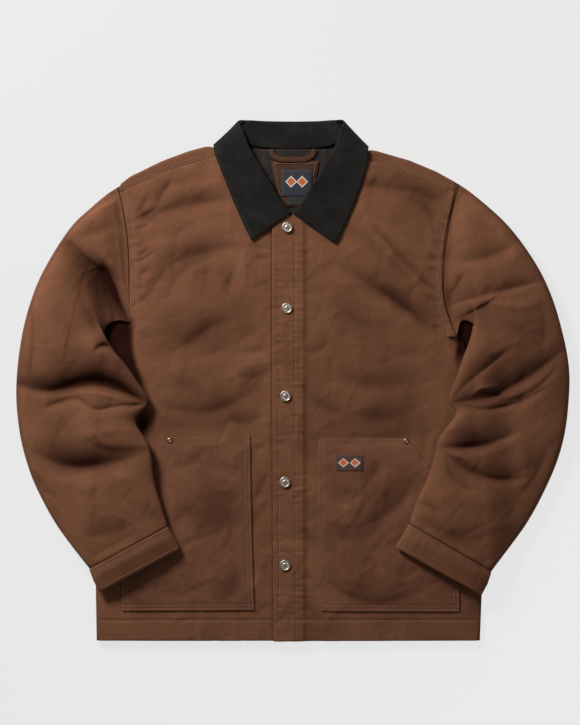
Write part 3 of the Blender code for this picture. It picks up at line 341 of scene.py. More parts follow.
FOLDS += [("body", *row) for gather in ARMHOLE_GATHERS for row in gathers(*gather)]
FOLDS += [("left", *row) for row in LEFT_SLEEVE_FOLDS] + [("right", *row) for row in RIGHT_SLEEVE_FOLDS]
for piece in ("body", "pocket", "left", "right"):
    print(piece, "folds:", sum(row[0] == piece for row in FOLDS))


def nearest_on(line, x, y):
    """Distance to a polyline, which side of it a point lies on, and how far along it, for all points at once."""
    a, run = line[:-1], np.diff(line, axis=0)
    length2 = (run**2).sum(1)
    px, py = x[:, None], y[:, None]
    t = np.clip(((px - a[:, 0]) * run[:, 0] + (py - a[:, 1]) * run[:, 1]) / length2, 0, 1)
    dx = px - (a[:, 0] + t * run[:, 0])
    dy = py - (a[:, 1] + t * run[:, 1])
    d2 = dx**2 + dy**2
    best = np.argmin(d2, axis=1)
    pick = np.arange(len(best))
    side = np.sign(run[best, 0] * dy[pick, best] - run[best, 1] * dx[pick, best])
    lengths = np.sqrt(length2)
    before = arc_length(line)
    return np.sqrt(d2[pick, best]), side, before[best] + t[pick, best] * lengths[best], before[-1]


def fold_relief(piece, x, y, rows):
    """Minus depth * exp(c - sqrt(u^2 + c^2)): u is the distance over that side's width, c the roundness."""
    x, y = np.broadcast_arrays(x, y)
    total = np.zeros(x.shape)
    for number, row in enumerate(rows):
        if row[0] != piece:
            continue
        crease = along(place(np.asarray(row[1:9], float).reshape(4, 2)), np.linspace(0, 1, 33))
        left_width, right_width, depth, roundness = row[9:13]
        roundness = 0.6 * roundness
        reach = 4.0 * max(left_width, right_width)
        low, high = crease.min(0) - reach, crease.max(0) + reach
        near = (x > low[0]) & (x < high[0]) & (y > low[1]) & (y < high[1])
        if not near.any():
            continue
        distance, side, run, whole = nearest_on(crease, x[near], y[near])
        at = np.clip(run / whole, 0.0, 1.0)
        taper = np.sin(np.pi * (0.04 + 0.92 * at)) ** 0.8
        uneven = 1.0 + 0.18 * np.sin(7.0 * at + 1.7 * number)
        width = np.where(side > 0, left_width, right_width) * (0.6 + 0.36 * taper)
        u = distance / width
        shape = np.exp(roundness - np.sqrt(u**2 + roundness**2)) * smooth((3.6 - u) / 1.6)
        past = np.hypot(distance * ((run < 0.02) | (run > whole - 0.02)), 0.0)
        total[near] -= 1.12 * depth * shape * taper * uneven * np.exp(-past / 14.0)
    return total


# %% Ripple and puckers
RIPPLE_HEIGHT, CRUMPLE_HEIGHT = 0.0009, 0.012


def ripple(x, y, size=1.0, seed=1):
    """Sum of ten long, weak waves in different directions: lengths from 26 to 110 mm, heights in proportion."""
    draw = np.random.default_rng(seed)
    total = np.zeros(np.broadcast(x, y).shape)
    for length in np.geomspace(26.0, 110.0, 10):
        turn, phase = draw.uniform(0, 2 * np.pi, 2)
        total = total + length * np.sin(2 * np.pi * (x * np.cos(turn) + y * np.sin(turn)) / length + phase)
    return total * size * RIPPLE_HEIGHT


def crumple(x, y, size=1.0, seed=1):
    """Crisp creases: length * exp(-3.4 |sin|) across bent waves, strong only in patches, up and down in turn."""
    draw = np.random.default_rng(seed)
    total = np.zeros(np.broadcast(x, y).shape)
    for number, length in enumerate(np.geomspace(18.0, 78.0, 11)):
        turn, phase, bend, first, second = draw.uniform(0, 2 * np.pi, 5)
        u = x * np.cos(turn) + y * np.sin(turn)
        v = y * np.cos(turn) - x * np.sin(turn)
        u = u + 0.35 * length * np.sin(2 * np.pi * v / (3.3 * length) + bend)
        share = np.sin(2 * np.pi * v / (2.7 * length) + first) * np.sin(2 * np.pi * u / (3.9 * length) + second)
        crest = np.exp(-3.4 * np.sqrt(np.sin(np.pi * u / length + phase) ** 2 + 0.012))
        total = total + (1.0 if number % 2 else -1.0) * length * smooth(1.5 * share) * crest
    return total * size * CRUMPLE_HEIGHT


def uneven_wave(at, length, seed):
    """A wave whose spacing and height wander: three sines of unrelated lengths."""
    draw = np.random.default_rng(seed)
    phase = draw.uniform(0, 2 * np.pi, 3)
    slow = 0.6 + 0.4 * np.sin(2 * np.pi * at / (9.7 * length) + phase[2])
    first = 0.6 * np.sin(2 * np.pi * at / length + phase[0])
    second = 0.4 * np.sin(2 * np.pi * at / (1.63 * length) + phase[1])
    return slow * (first + second)


def seam_relief(x, y, seams):
    """Each sewn line presses the cloth in along itself and draws small ridges across itself on its sides."""
    x, y = np.broadcast_arrays(x, y)
    total = np.zeros(x.shape)
    for number, (line, groove, pucker, length, reach) in enumerate(seams):
        low, high = line.min(0) - 4.0 * reach, line.max(0) + 4.0 * reach
        near = (x > low[0]) & (x < high[0]) & (y > low[1]) & (y < high[1])
        if not near.any():
            continue
        distance, _, at, _ = nearest_on(line, x[near], y[near])
        ridges = pucker * uneven_wave(at, length, number + 3) * np.exp(-((distance / reach) ** 2))
        total[near] += ridges - groove * np.exp(-((distance / 1.9) ** 2))
    return total


# %% [markdown]
# Every cloth panel is a sheet with two faces and a rounded edge. A grid of points gives the outside, the
# same points moved in by the wall give the inside, and three rows of points carry the edge round in a half
# circle. The grid's own lengths become the UV map, so a weave has its real size and follows the cloth.

# %% From a grid to a closed sheet
collection = bpy.data.collections.new("jacket")
bpy.context.scene.collection.children.link(collection)
made_pieces = {}


def unit(v):
    """A vector divided by its length."""
    return v / np.maximum(np.linalg.norm(v, axis=-1, keepdims=True), 1e-9)


def mesh_object(name, points, faces, finish, attributes=None, uv=None):
    """Points in millimetres and faces of four (or three, the last number repeated) become one object."""
    mesh = bpy.data.meshes.new(name)
    mesh.vertices.add(len(points))
    mesh.vertices.foreach_set("co", (np.asarray(points, float) * MM).astype(np.float32).ravel())
    faces = np.asarray(faces)
    sizes = np.where(faces[:, 2] == faces[:, 3], 3, 4)
    keep = np.ones(faces.shape, bool)
    keep[:, 3] = sizes == 4
    loops = faces[keep]
    mesh.loops.add(len(loops))
    mesh.loops.foreach_set("vertex_index", loops.astype(np.int32))
    mesh.polygons.add(len(faces))
    starts = np.concatenate([[0], np.cumsum(sizes)[:-1]])
    mesh.polygons.foreach_set("loop_start", starts.astype(np.int32))
    mesh.polygons.foreach_set("use_smooth", np.ones(len(faces), bool))
    for label, values in (attributes or {}).items():
        layer = mesh.attributes.new(label, "FLOAT", "POINT")
        layer.data.foreach_set("value", np.asarray(values, np.float32).ravel())
    if uv is not None:
        layer = mesh.uv_layers.new(name="cloth")
        layer.data.foreach_set("uv", np.asarray(uv, np.float32)[loops].ravel())
    mesh.update()
    mesh.validate()
    mesh.materials.append(finish)
    piece = bpy.data.objects.new(name, mesh)
    collection.objects.link(piece)
    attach(piece, "root")
    made_pieces[name] = piece
    return piece


def grid_lengths(outer):
    """Arc length along the rows and along the columns, both measured from the middle of the sheet."""
    lengths = []
    for axis in (1, 0):
        steps = np.linalg.norm(np.diff(outer, axis=axis), axis=-1)
        run = np.cumsum(steps, axis)
        run = np.concatenate([np.zeros_like(np.take(run, [0], axis)), run], axis)
        lengths.append(run - np.take(run, [run.shape[axis] // 2], axis))
    return np.stack(lengths, -1)


def sheet(name, outer, inner, finish, attributes=None, uv=None):
    """Outside, inside and three rows of a half circle between their rims, as one closed mesh."""
    rows, cols = outer.shape[:2]
    count = rows * cols
    index = np.arange(count).reshape(rows, cols)
    rim = np.concatenate([index[0, :], index[1:, -1], index[-1, -2::-1], index[-2:0:-1, 0]])
    flat_outer, flat_inner = outer.reshape(-1, 3), inner.reshape(-1, 3)
    away = np.zeros_like(outer)
    away[0] += unit(outer[0] - outer[1])
    away[-1] += unit(outer[-1] - outer[-2])
    away[:, 0] += unit(outer[:, 0] - outer[:, 1])
    away[:, -1] += unit(outer[:, -1] - outer[:, -2])
    away = unit(away).reshape(-1, 3)[rim]
    middle = (flat_outer[rim] + flat_inner[rim]) / 2
    half = (flat_outer[rim] - flat_inner[rim]) / 2
    reach = np.linalg.norm(half, axis=-1, keepdims=True)
    turn = np.array([0.25, 0.5, 0.75]) * np.pi
    rounds = [middle + half * np.cos(a) + away * reach * 0.8 * np.sin(a) for a in turn]
    points = np.concatenate([flat_outer, flat_inner, *rounds])
    a, b, c, d = index[:-1, :-1], index[:-1, 1:], index[1:, 1:], index[1:, :-1]
    top = np.stack([a, b, c, d], -1).reshape(-1, 4)
    ring = np.arange(len(rim))
    levels = [rim, 2 * count + ring, 2 * count + len(rim) + ring, 2 * count + 2 * len(rim) + ring, rim + count]
    walls = [np.stack([np.roll(one, -1), one, two, np.roll(two, -1)], -1) for one, two in zip(levels, levels[1:])]
    faces = np.concatenate([top, top[:, ::-1] + count, *walls])
    corner = points[faces]
    turned = np.cross(corner[:, 1] - corner[:, 0], corner[:, 2] - corner[:, 0])
    turned += np.cross(corner[:, 2] - corner[:, 0], corner[:, 3] - corner[:, 0])
    if (turned * corner[:, 0]).sum() < 0:
        faces = faces[:, ::-1]
    spread = lambda values: np.concatenate([values.reshape(-1), values.reshape(-1), *[values.reshape(-1)[rim]] * 3])
    attributes = {key: spread(np.broadcast_to(v, (rows, cols))) for key, v in (attributes or {}).items()}
    uv = grid_lengths(outer) if uv is None else uv
    uv = np.stack([spread(uv[..., 0] * MM), spread(uv[..., 1] * MM)], -1)
    return mesh_object(name, points, faces, finish, attributes, uv)


def shell(name, outer, wall, finish, attributes=None, uv=None):
    """A sheet whose inside lies one wall below its outside, measured square to the cloth."""
    n = unit(np.cross(np.gradient(outer, axis=1), np.gradient(outer, axis=0)))
    n = n if n[..., 2].sum() > 0 else -n
    return sheet(name, outer, outer - n * wall, finish, attributes, uv)


# %% [markdown]
# ## Materials
# Each finish is named for the real one. Colours are the ones that a paint card would give, as hex numbers,
# and one function turns them into the linear values that the renderer mixes.

# %% Colour and node helpers
def linear(text):
    """sRGB hex to linear: c / 12.92 below 0.04045, else ((c + 0.055) / 1.055) ^ 2.4."""
    c = np.array([int(text[i : i + 2], 16) for i in (1, 3, 5)]) / 255.0
    return (*np.where(c <= 0.04045, c / 12.92, ((c + 0.055) / 1.055) ** 2.4), 1.0)


def node(tree, kind, links=None, values=None, **settings):
    """Adds a node, sets its fields, its sockets' values and its incoming links."""
    added = tree.nodes.new("ShaderNode" + kind)
    for key, value in settings.items():
        setattr(added, key, value)
    for key, value in (values or {}).items():
        added.inputs[key].default_value = value
    for key, source in (links or {}).items():
        tree.links.new(source, added.inputs[key])
    return added


def ramp(tree, source, stops):
    """A colour ramp with these (place, hex colour) stops."""
    added = node(tree, "ValToRGB", {"Fac": source})
    elements = added.color_ramp.elements
    elements[0].position, elements[0].color = stops[0][0], linear(stops[0][1])
    elements[1].position, elements[1].color = stops[-1][0], linear(stops[-1][1])
    for at, colour in stops[1:-1]:
        elements.new(at).color = linear(colour)
    return added.outputs["Color"]


def noise(tree, vector, scale, detail, roughness=0.5):
    """Cloudy values round 0.5: so many clouds to the metre, with this many finer layers."""
    values = {"Scale": scale, "Detail": detail, "Roughness": roughness}
    return node(tree, "TexNoise", {"Vector": vector}, values).outputs["Fac"]


def maths(tree, operation, *terms):
    """One operation on links and plain numbers."""
    links = {i: term for i, term in enumerate(terms) if isinstance(term, bpy.types.NodeSocket)}
    values = {i: term for i, term in enumerate(terms) if i not in links}
    return node(tree, "Math", links, values, operation=operation).outputs[0]


def blend(tree, factor, under, colour, **settings):
    """A plain hex colour laid over another link by a factor."""
    mixed = node(tree, "Mix", {"Factor": factor, "A": under}, data_type="RGBA", **settings)
    mixed.inputs["B"].default_value = linear(colour)
    return mixed.outputs["Result"]


def weave_map(tree):
    """The cloth's own lengths, in metres."""
    return node(tree, "UVMap", uv_map="cloth").outputs["UV"]


def attribute(tree, name):
    """A value that the mesh carries at its points."""
    return node(tree, "Attribute", attribute_name=name).outputs["Fac"]


def bumped(tree, shader, height, strength, distance):
    """Fine relief that only the light sees, this many metres high at full strength."""
    bump = node(tree, "Bump", {"Height": height}, {"Strength": strength, "Distance": distance})
    tree.links.new(bump.outputs["Normal"], shader.inputs["Normal"])


def new_material(name, **values):
    """A Principled material with these constants on its own sockets."""
    material = bpy.data.materials.new(name)
    material.use_nodes = True
    tree = material.node_tree
    shader = tree.nodes["Principled BSDF"]
    for key, value in values.items():
        shader.inputs[key.replace("_", " ")].default_value = value
    return material, tree, shader


# %% [markdown]
# ### Cotton duck
# The shell is duck: a tight plain weave of thick cotton yarns, dyed brown and lightly brushed. It has no
# gloss, a faint fuzz that brightens it at grazing angles, and yarns of slightly uneven colour. Real yarns lie
# 0.6 mm apart, finer than one dot of the picture, so the weave is drawn at 1.1 mm.


# %% Duck canvas
def duck_canvas(name, base, light, dark, thread=1.1, fuzz=0.035):
    """Weave bump from two crossed waves, colour from streaks along the yarns and a cloudy wash, darkened by painted
    shade in the creases and other shaded places.
    """
    gloss = {"Roughness": 0.9, "Specular_IOR_Level": 0.08}
    fur = {"Sheen_Weight": fuzz, "Sheen_Roughness": 0.55, "Sheen_Tint": linear(light)}
    material, tree, shader = new_material(name, **gloss, **fur)
    uv = weave_map(tree)
    streaks = []
    for scale in ((900.0, 60.0, 1.0), (60.0, 900.0, 1.0)):
        stretched = node(tree, "Mapping", {"Vector": uv}, {"Scale": scale})
        streaks.append(noise(tree, stretched.outputs["Vector"], 1.0, 2.0))
    slub = maths(tree, "MULTIPLY", maths(tree, "ADD", *streaks), 0.2)
    cloud = maths(tree, "MULTIPLY", noise(tree, uv, 14.0, 5.0, 0.6), 0.6)
    colour = ramp(tree, maths(tree, "ADD", cloud, slub), [(0.38, dark), (0.535, base), (0.70, light)])
    # Painted shade: the colour is multiplied towards dark brown by a value that each mesh carries for its creases and
    # shaded hollows.
    deep = blend(tree, attribute(tree, "painted_shade"), colour, "#553220", blend_type="MULTIPLY")
    rubbed = blend(tree, attribute(tree, "worn"), deep, light)
    tree.links.new(rubbed, shader.inputs["Base Color"])
    count = 2 * math.pi / (thread * MM)
    split = node(tree, "SeparateXYZ", {"Vector": uv})
    waves = [maths(tree, "SINE", maths(tree, "MULTIPLY", split.outputs[axis], count)) for axis in ("X", "Y")]
    weave = maths(tree, "MULTIPLY", *waves)
    grain = maths(tree, "ADD", weave, noise(tree, uv, 700.0, 3.0))
    bumped(tree, shader, grain, 0.35, 0.00022)
    return material


canvas = duck_canvas("brushed_cotton_duck", "#704934", "#7a523b", "#64402d")
canvas_pocket = duck_canvas("brushed_cotton_duck_pocket", "#6b4532", "#764e39", "#5f3c2b")
canvas_back = duck_canvas("brushed_cotton_duck_back", "#6b4531", "#764e38", "#5f3c2a")
canvas_inside = duck_canvas("cotton_duck_facing", "#4a3124", "#58392a", "#3c271d")

# %% [markdown]
# ### Moleskin
# The collar is moleskin: cotton whose face is sheared to a short dense nap. It is almost black, drinks light
# when looked at squarely and shows a soft grey bloom at its edges, so it gets strong sheen and no gloss.


# %% Moleskin, lining, labels and metal
def moleskin(name):
    """Cloudy black where the nap lies in different directions, with a fine bump for its tips."""
    bloom = {"Sheen_Weight": 0.22, "Sheen_Roughness": 0.5, "Sheen_Tint": linear("#8a8378")}
    material, tree, shader = new_material(name, Roughness=0.97, Specular_IOR_Level=0.12, **bloom)
    uv = weave_map(tree)
    stops = [(0.35, "#12110f"), (0.52, "#191816"), (0.68, "#22201e")]
    tree.links.new(ramp(tree, noise(tree, uv, 26.0, 6.0, 0.62), stops), shader.inputs["Base Color"])
    bumped(tree, shader, noise(tree, uv, 850.0, 2.0), 0.5, 0.0003)
    return material


def satin_lining(name):
    """Dark brown nylon satin: smooth along its floats, so it keeps broad, soft highlights on its wrinkles."""
    material, tree, shader = new_material(name, Roughness=0.55, Specular_IOR_Level=0.2, Sheen_Weight=0.1)
    uv = weave_map(tree)
    stops = [(0.35, "#150f0d"), (0.65, "#241c18")]
    tree.links.new(ramp(tree, noise(tree, uv, 60.0, 4.0), stops), shader.inputs["Base Color"])
    bumped(tree, shader, noise(tree, uv, 400.0, 2.0), 0.2, 0.0002)
    return material


def lozenge(tree, uv, centre, half):
    """1 inside |x - cx| / a + |y - cy| / b < 1, else 0."""
    split = node(tree, "SeparateXYZ", {"Vector": uv})
    parts = []
    for axis, middle, reach in zip(("X", "Y"), centre, half):
        size = maths(tree, "ABSOLUTE", maths(tree, "SUBTRACT", split.outputs[axis], middle))
        parts.append(maths(tree, "DIVIDE", size, reach))
    return maths(tree, "LESS_THAN", maths(tree, "ADD", *parts), 1.0)


def lozenges(centre, rim, rim_colour, heart, heart_colour):
    """Marks for two lozenges side by side, each with a smaller one on it."""
    x, y = centre
    return [mark for at in ((-x, y), (x, y)) for mark in ((at, rim, rim_colour), (at, heart, heart_colour))]


def woven_label(name, ground, marks, thread=0.9):
    """A damask ground with plain marks woven in: (centre, half sizes, colour), metres on the UV map."""
    material, tree, shader = new_material(name, Roughness=0.7, Sheen_Weight=0.1)
    uv = weave_map(tree)
    split = node(tree, "SeparateXYZ", {"Vector": uv})
    rib = maths(tree, "SINE", maths(tree, "MULTIPLY", split.outputs["Y"], 2 * math.pi / (thread * MM)))
    colour = ramp(tree, rib, [(0.0, ground[0]), (1.0, ground[1])])
    for centre, half, paint in marks:
        colour = blend(tree, lozenge(tree, uv, centre, half), colour, paint)
    tree.links.new(colour, shader.inputs["Base Color"])
    bumped(tree, shader, rib, 0.3, 0.0001)
    return material


def old_metal(name, bright, dull, roughness):
    """Plated metal tumbled with dye: bright where it is rubbed, dark in its hollows, by the 'worn' attribute."""
    material, tree, shader = new_material(name, Metallic=1.0, Roughness=roughness)
    spots = noise(tree, node(tree, "TexCoord").outputs["Object"], 900.0, 3.0)
    mixed = maths(tree, "MULTIPLY_ADD", attribute(tree, "worn"), spots, spots)
    tree.links.new(ramp(tree, mixed, [(0.3, dull), (0.95, bright)]), shader.inputs["Base Color"])
    return material


def thread_cotton(name, light, dark):
    """Polyester-cotton sewing thread: darker and lighter from stitch to stitch."""
    material, tree, shader = new_material(name, Roughness=0.75, Sheen_Weight=0.15)
    spots = noise(tree, node(tree, "TexCoord").outputs["Object"], 120.0, 2.0)
    tree.links.new(ramp(tree, spots, [(0.35, dark), (0.65, light)]), shader.inputs["Base Color"])
    return material


black = moleskin("black_moleskin")
satin = satin_lining("nylon_satin")
thread_brown = thread_cotton("brown_thread", "#94694c", "#7a5238")
thread_black = thread_cotton("black_thread", "#2c2a27", "#191816")
pewter = old_metal("antique_pewter_plate", "#bcb0a6", "#453b35", 0.42)
copper = old_metal("antique_copper_plate", "#a5826a", "#4a3226", 0.38)
neck_marks = lozenges((0.008, 0.002), (0.0085, 0.0085), "#c9c4ba", (0.0066, 0.0066), "#b5562b")
neck_label_weave = woven_label("woven_neck_label", ("#171922", "#20232e"), neck_marks)
pocket_marks = lozenges((0.0085, 0.0), (0.0078, 0.0066), "#c9b9a6", (0.0060, 0.0050), "#b5562b")
pocket_label_weave = woven_label("woven_pocket_label", ("#3a2118", "#4a2b1f"), pocket_marks)
size_tag_weave = woven_label("woven_size_tag", ("#0f0f10", "#1a1a1c"), [])
print("materials:", len(bpy.data.materials))

# %% [markdown]
# ## The fronts
# Two fronts meet down the middle: the one on the right of the picture laps over the other, so its edge
# stands one thickness higher. Each is a patch between four curves (hem, side seam and armhole, shoulder and
# neck, front edge), lifted to a height that swells from the side seams to the middle of the body.


# %% Height of the body
SLEEVE_LEFT = [
    # inner x, y, outer x, y, bow, height
    (130.6, 322.0, 117.5, 187.0, 1.00, 10.0),
    (117.0, 320.0, 106.0, 194.6, 0.85, 15.5),
    (106.0, 327.0, 91.0, 207.6, 0.60, 22.0),
    (105.5, 340.0, 72.0, 226.0, 0.35, 28.0),
    (116.0, 353.0, 52.0, 256.0, 0.14, 32.0),
    (127.5, 366.0, 35.0, 290.0, 0.00, 32.0),
    (138.0, 381.5, 22.4, 334.0, 0.00, 31.0),
    (149.0, 401.0, 16.4, 386.0, 0.00, 30.0),
    (136.5, 421.0, 19.4, 430.0, 0.00, 29.0),
    (150.5, 447.0, 27.5, 464.0, 0.00, 29.0),
    (155.0, 480.0, 39.0, 493.0, 0.00, 27.0),
    (162.0, 504.0, 60.0, 530.0, 0.00, 25.0),
    (168.6, 525.0, 90.4, 568.0, 0.00, 22.0),
]
SLEEVE_RIGHT = [
    # inner x, y, outer x, y, bow, height
    (456.4, 336.0, 459.0, 184.0, 1.00, 10.0),
    (462.0, 320.5, 470.0, 191.4, 0.85, 15.5),
    (475.0, 326.0, 488.0, 206.4, 0.60, 22.0),
    (471.5, 338.0, 507.0, 224.6, 0.35, 28.0),
    (464.0, 354.0, 526.0, 249.0, 0.14, 32.0),
    (456.5, 375.0, 544.0, 279.0, 0.00, 32.0),
    (447.8, 400.5, 558.0, 316.0, 0.00, 31.0),
    (455.0, 414.0, 568.6, 365.0, 0.00, 30.0),
    (438.6, 437.0, 568.0, 408.0, 0.00, 29.0),
    (434.6, 452.0, 562.0, 445.0, 0.00, 29.0),
    (428.6, 473.0, 549.0, 481.0, 0.00, 27.0),
    (416.0, 501.0, 525.0, 526.0, 0.00, 25.0),
    (408.4, 522.8, 490.3, 571.0, 0.00, 22.0),
]


def sleeve_edge(y, side):
    """Inner edge of the sleeve where it lies over the body."""
    table = place(np.asarray(SLEEVE_LEFT if side < 0 else SLEEVE_RIGHT)[:, :2])
    rows = table[3:][np.argsort(-table[3:, 1])]
    return np.interp(-y, -rows[:, 1], rows[:, 0])


def plain_height(x, y):
    """Outside of the fronts without folds: low at the seams, swelling to the middle, sunk under the arms."""
    left, right = side_edges(y)
    from_side = np.minimum(x - left, right - x)
    from_hem = y - HEM_LEVEL
    inside = np.minimum(np.minimum(from_side, shoulder_fold(x) - y), from_hem + 16.0)
    height = BODY_EDGE + (BODY_MIDDLE - BODY_EDGE) * (1.0 - np.exp(-np.maximum(inside, 0.0) / 34.0))
    pit_left = np.hypot((x + 255.0) / 26.0, (y - 62.0) / 27.0)
    pit_right = np.hypot((x - 251.0) / 20.0, (y - 56.0) / 25.0)
    pit = smooth(1.3 - pit_left) + smooth(1.3 - pit_right)
    return height - (height - PRESSED) * np.clip(pit, 0, 1)


def front_height(x, y, folds=FOLDS, seams=()):
    """The plain height, lifted at the neck, with folds and puckers where no sleeve presses on it."""
    height = plain_height(x, y)
    clear_left = smooth((x - sleeve_edge(y, -1) - 2.0) / 14.0)
    clear_right = smooth((sleeve_edge(y, 1) - x - 2.0) / 14.0)
    clear = np.where(y < UNDERARM, clear_left * clear_right, 1.0)
    relief = fold_relief("body", x, y, folds) * clear
    if folds:
        relief = relief + (ripple(x, y) + crumple(x, y, 1.9, 2)) * clear + seam_relief(x, y, seams)
    relief = np.minimum(relief, 2.0)
    return height + neck_lift(x, y) + np.maximum(relief, PRESSED - height)


def placket_height(x, y, folds=FOLDS, seams=()):
    """The front that laps over steps down past the edge of the one under it."""
    under = (EDGE_UNDER - CENTRE[0]) * SQUARE
    return front_height(x, y, folds, seams) + OVERLAP_STEP * (1.0 - smooth((x - under - 2.5) / 11.0))


# %% Cut of the fronts
SEAM_SHARE, HOLE_SHARE = 0.66, 0.34


def patch(bottom, top, left, right):
    """Coons patch: the mix of bottom and top, plus the mix of left and right, less the mix of the corners."""

    def surface(s, t):
        s, t = np.broadcast_arrays(s, t)
        zero, one = np.zeros_like(s), np.ones_like(s)
        s3, t3 = s[..., None], t[..., None]
        corner = (1 - s3) * (1 - t3) * bottom(zero) + s3 * (1 - t3) * bottom(one)
        corner = corner + (1 - s3) * t3 * top(zero) + s3 * t3 * top(one)
        return (1 - t3) * bottom(s) + t3 * top(s) + (1 - s3) * left(t) + s3 * right(t) - corner

    return surface


def joined_flank(side, armhole):
    """Side seam from the hem to the underarm, then the armhole."""

    def curve(t):
        t = np.asarray(t, float)
        y = HEM_LEVEL + (place(armhole)[-1, 1] - HEM_LEVEL) * np.minimum(t / SEAM_SHARE, 1.0)
        left, right = side_edges(y)
        x = left + SIDE_SEAM_INSET * SQUARE if side < 0 else right - SIDE_SEAM_INSET * SQUARE
        hole = along(place(armhole[::-1]), (t - SEAM_SHARE) / HOLE_SHARE)
        return np.where((t < SEAM_SHARE)[..., None], np.stack([x, y], -1), hole)

    return curve


def front_patch(side):
    """Cut of one front: hem, side seam with the armhole, shoulder with the neck, and front edge."""
    if side < 0:
        hem = place([(96.2 + SIDE_SEAM_INSET, HEM_Y), (180, HEM_Y + 0.3), (EDGE_UNDER, HEM_Y)])
        crown = joined(place(FORWARD_SEAM_LEFT), place(NECK_LEFT), 0.56)
        edge = place([(EDGE_UNDER, HEM_Y), (EDGE_UNDER, 420), (300, 215)])
        return patch(lambda s: along(hem, s), crown, joined_flank(-1, ARMHOLE_LEFT), lambda t: along(edge, t))
    hem = place([(480.4 - SIDE_SEAM_INSET, HEM_Y), (380, HEM_Y + 0.3), (273.9, HEM_Y + 0.6)])
    crown = joined(place(FORWARD_SEAM_RIGHT), place(NECK_RIGHT), 0.52)
    edge = place([(273.9, HEM_Y + 0.6), (273.1, 420), (272.4, 217)])
    return patch(lambda s: along(hem, s), crown, joined_flank(1, ARMHOLE_RIGHT), lambda t: along(edge, t))


def offset(line, by):
    """A polyline moved to its left by this many millimetres."""
    run = unit(np.gradient(line, axis=0))
    return line + np.stack([-run[:, 1], run[:, 0]], -1) * by


# %% Sewn lines of the body
dense = np.linspace(0, 1, 90)
HEM_STITCHES_Y = HEM_Y - 20.0
SEWN = {
    "hem_left": place(np.stack([np.linspace(99.5, 272.0, 90), np.full(90, HEM_STITCHES_Y)], -1)),
    "hem_right": place(np.stack([np.linspace(278.5, 477.5, 90), np.full(90, HEM_STITCHES_Y)], -1)),
    "placket_edge": along(place([(278.6, 238), (279.3, 420), (279.8, 639)]), dense),
    "placket_1": along(place([(295.2, 232), (295.8, 420), (296.2, 639)]), dense),
    "placket_2": along(place([(299.6, 228), (300.2, 420), (300.6, 639)]), dense),
    "armhole_left_1": offset(along(place(ARMHOLE_LEFT), dense), 4.2),
    "armhole_left_2": offset(along(place(ARMHOLE_LEFT), dense), 8.0),
    "armhole_right_1": offset(along(place(ARMHOLE_RIGHT), dense), -4.2),
    "armhole_right_2": offset(along(place(ARMHOLE_RIGHT), dense), -8.0),
}
SEAMS_BODY = [
    # line, groove depth, pucker height, pucker spacing, reach (mm)
    (SEWN["hem_left"], 0.9, 0.40, 9.0, 7.0),
    (SEWN["hem_right"], 0.9, 0.40, 9.0, 7.0),
    (SEWN["placket_edge"], 0.5, 0.75, 8.0, 6.0),
    (SEWN["placket_1"], 0.7, 0.60, 8.0, 7.0),
    (SEWN["placket_2"], 0.7, 0.70, 8.5, 11.0),
    (SEWN["armhole_left_1"], 0.35, 0.20, 11.0, 6.0),
    (SEWN["armhole_left_2"], 0.45, 0.50, 12.0, 9.0),
    (SEWN["armhole_right_1"], 0.35, 0.20, 11.0, 6.0),
    (SEWN["armhole_right_2"], 0.45, 0.50, 12.0, 9.0),
]


def crease_shade_of(relief, scale):
    """How deep in a crease the cloth lies, 0 to 1: the share of painted shade it gets there."""
    return np.clip(-relief / scale, 0.0, 1.0)


def lifted(xy, height):
    """Flat points with their height as third coordinate."""
    return np.concatenate([xy, height[..., None]], -1)


# %% Make the fronts
RIM_LEFT = [(134.0, 300), (134.5, 330), (135.0, 350), (138.5, 365), (145.0, 380), (150.5, 393), (154.0, 404)]
RIM_RIGHT = [(457.0, 300), (457.0, 336), (455.5, 350), (454.5, 362), (455.5, 373), (452.0, 390), (449.0, 400)]
ARM_PITS = [
    # side, lowest and highest y (mm), width of the soft edge (mm), rim of the sleeve above
    (-1, -36.0, 98.0, 9.0, RIM_LEFT),
    (1, 4.0, 90.0, 6.0, RIM_RIGHT),
]


def shade_of_arms(x, y):
    """Painted shade: 1 in the hollows under the arms and beside the elbows, where the sleeve overhangs the front."""
    pits = []
    for side, low, high, soft_edge, rim in ARM_PITS:
        rim = place(rim)
        level = smooth((y - low) / 40.0) * smooth((high - y) / 14.0)
        past_rim = side * (x - np.interp(-y, -rim[:, 1], rim[:, 0]))
        pits.append(level * smooth((past_rim + 2.0) / soft_edge))
    elbow = np.exp(-(((x + 217.0) / 13.0) ** 2) - ((y + 62.0) / 22.0) ** 2)
    return np.clip(np.maximum(*pits) + elbow, 0.0, 1.0)


def make_front(name, side, height, columns, rows):
    """Cut, raised to its height. Painted shade darkens its creases, the hollows under the arms and a line along the
    lap; the hem is slightly rubbed.
    """
    grid_s, grid_t = np.meshgrid(columns, rows)
    xy = front_patch(side)(grid_s, grid_t)
    x, y = xy[..., 0], xy[..., 1]
    outer = lifted(xy, height(x, y, FOLDS, SEAMS_BODY))
    relief = fold_relief("body", x, y, FOLDS)
    edge = np.exp(-((y - HEM_LEVEL) / 3.0) ** 2)
    # Painted shade in the creases and in the hollows beside the sleeves.
    painted_shade = np.maximum(crease_shade_of(relief, 9.0), shade_of_arms(x, y))
    # Painted shade along the lap: a dark line on the under front just beside the edge of the front that laps over it.
    if side < 0:
        lap_line = place([(272.4, 217), (273.1, 420), (273.9, HEM_Y)])
        lap = np.interp(-y, -lap_line[:, 1], lap_line[:, 0])
        strength = 0.75 + 0.35 * uneven_wave(y, 9.0, 41)
        painted_shade = np.maximum(painted_shade, strength * np.exp(-(((x - lap + 0.7) / 1.9) ** 2)))
    painted_shade = np.clip(painted_shade, 0.0, 1.0)
    return shell(name, outer, WALL, canvas, {"painted_shade": painted_shade, "worn": 0.3 * edge}, xy)


def spaced(*spans):
    """Grid lines between these marks: (start, end, how many)."""
    lines = [np.linspace(a, b, n, endpoint=False) for a, b, n in spans]
    return np.concatenate([*lines, [spans[-1][1]]])


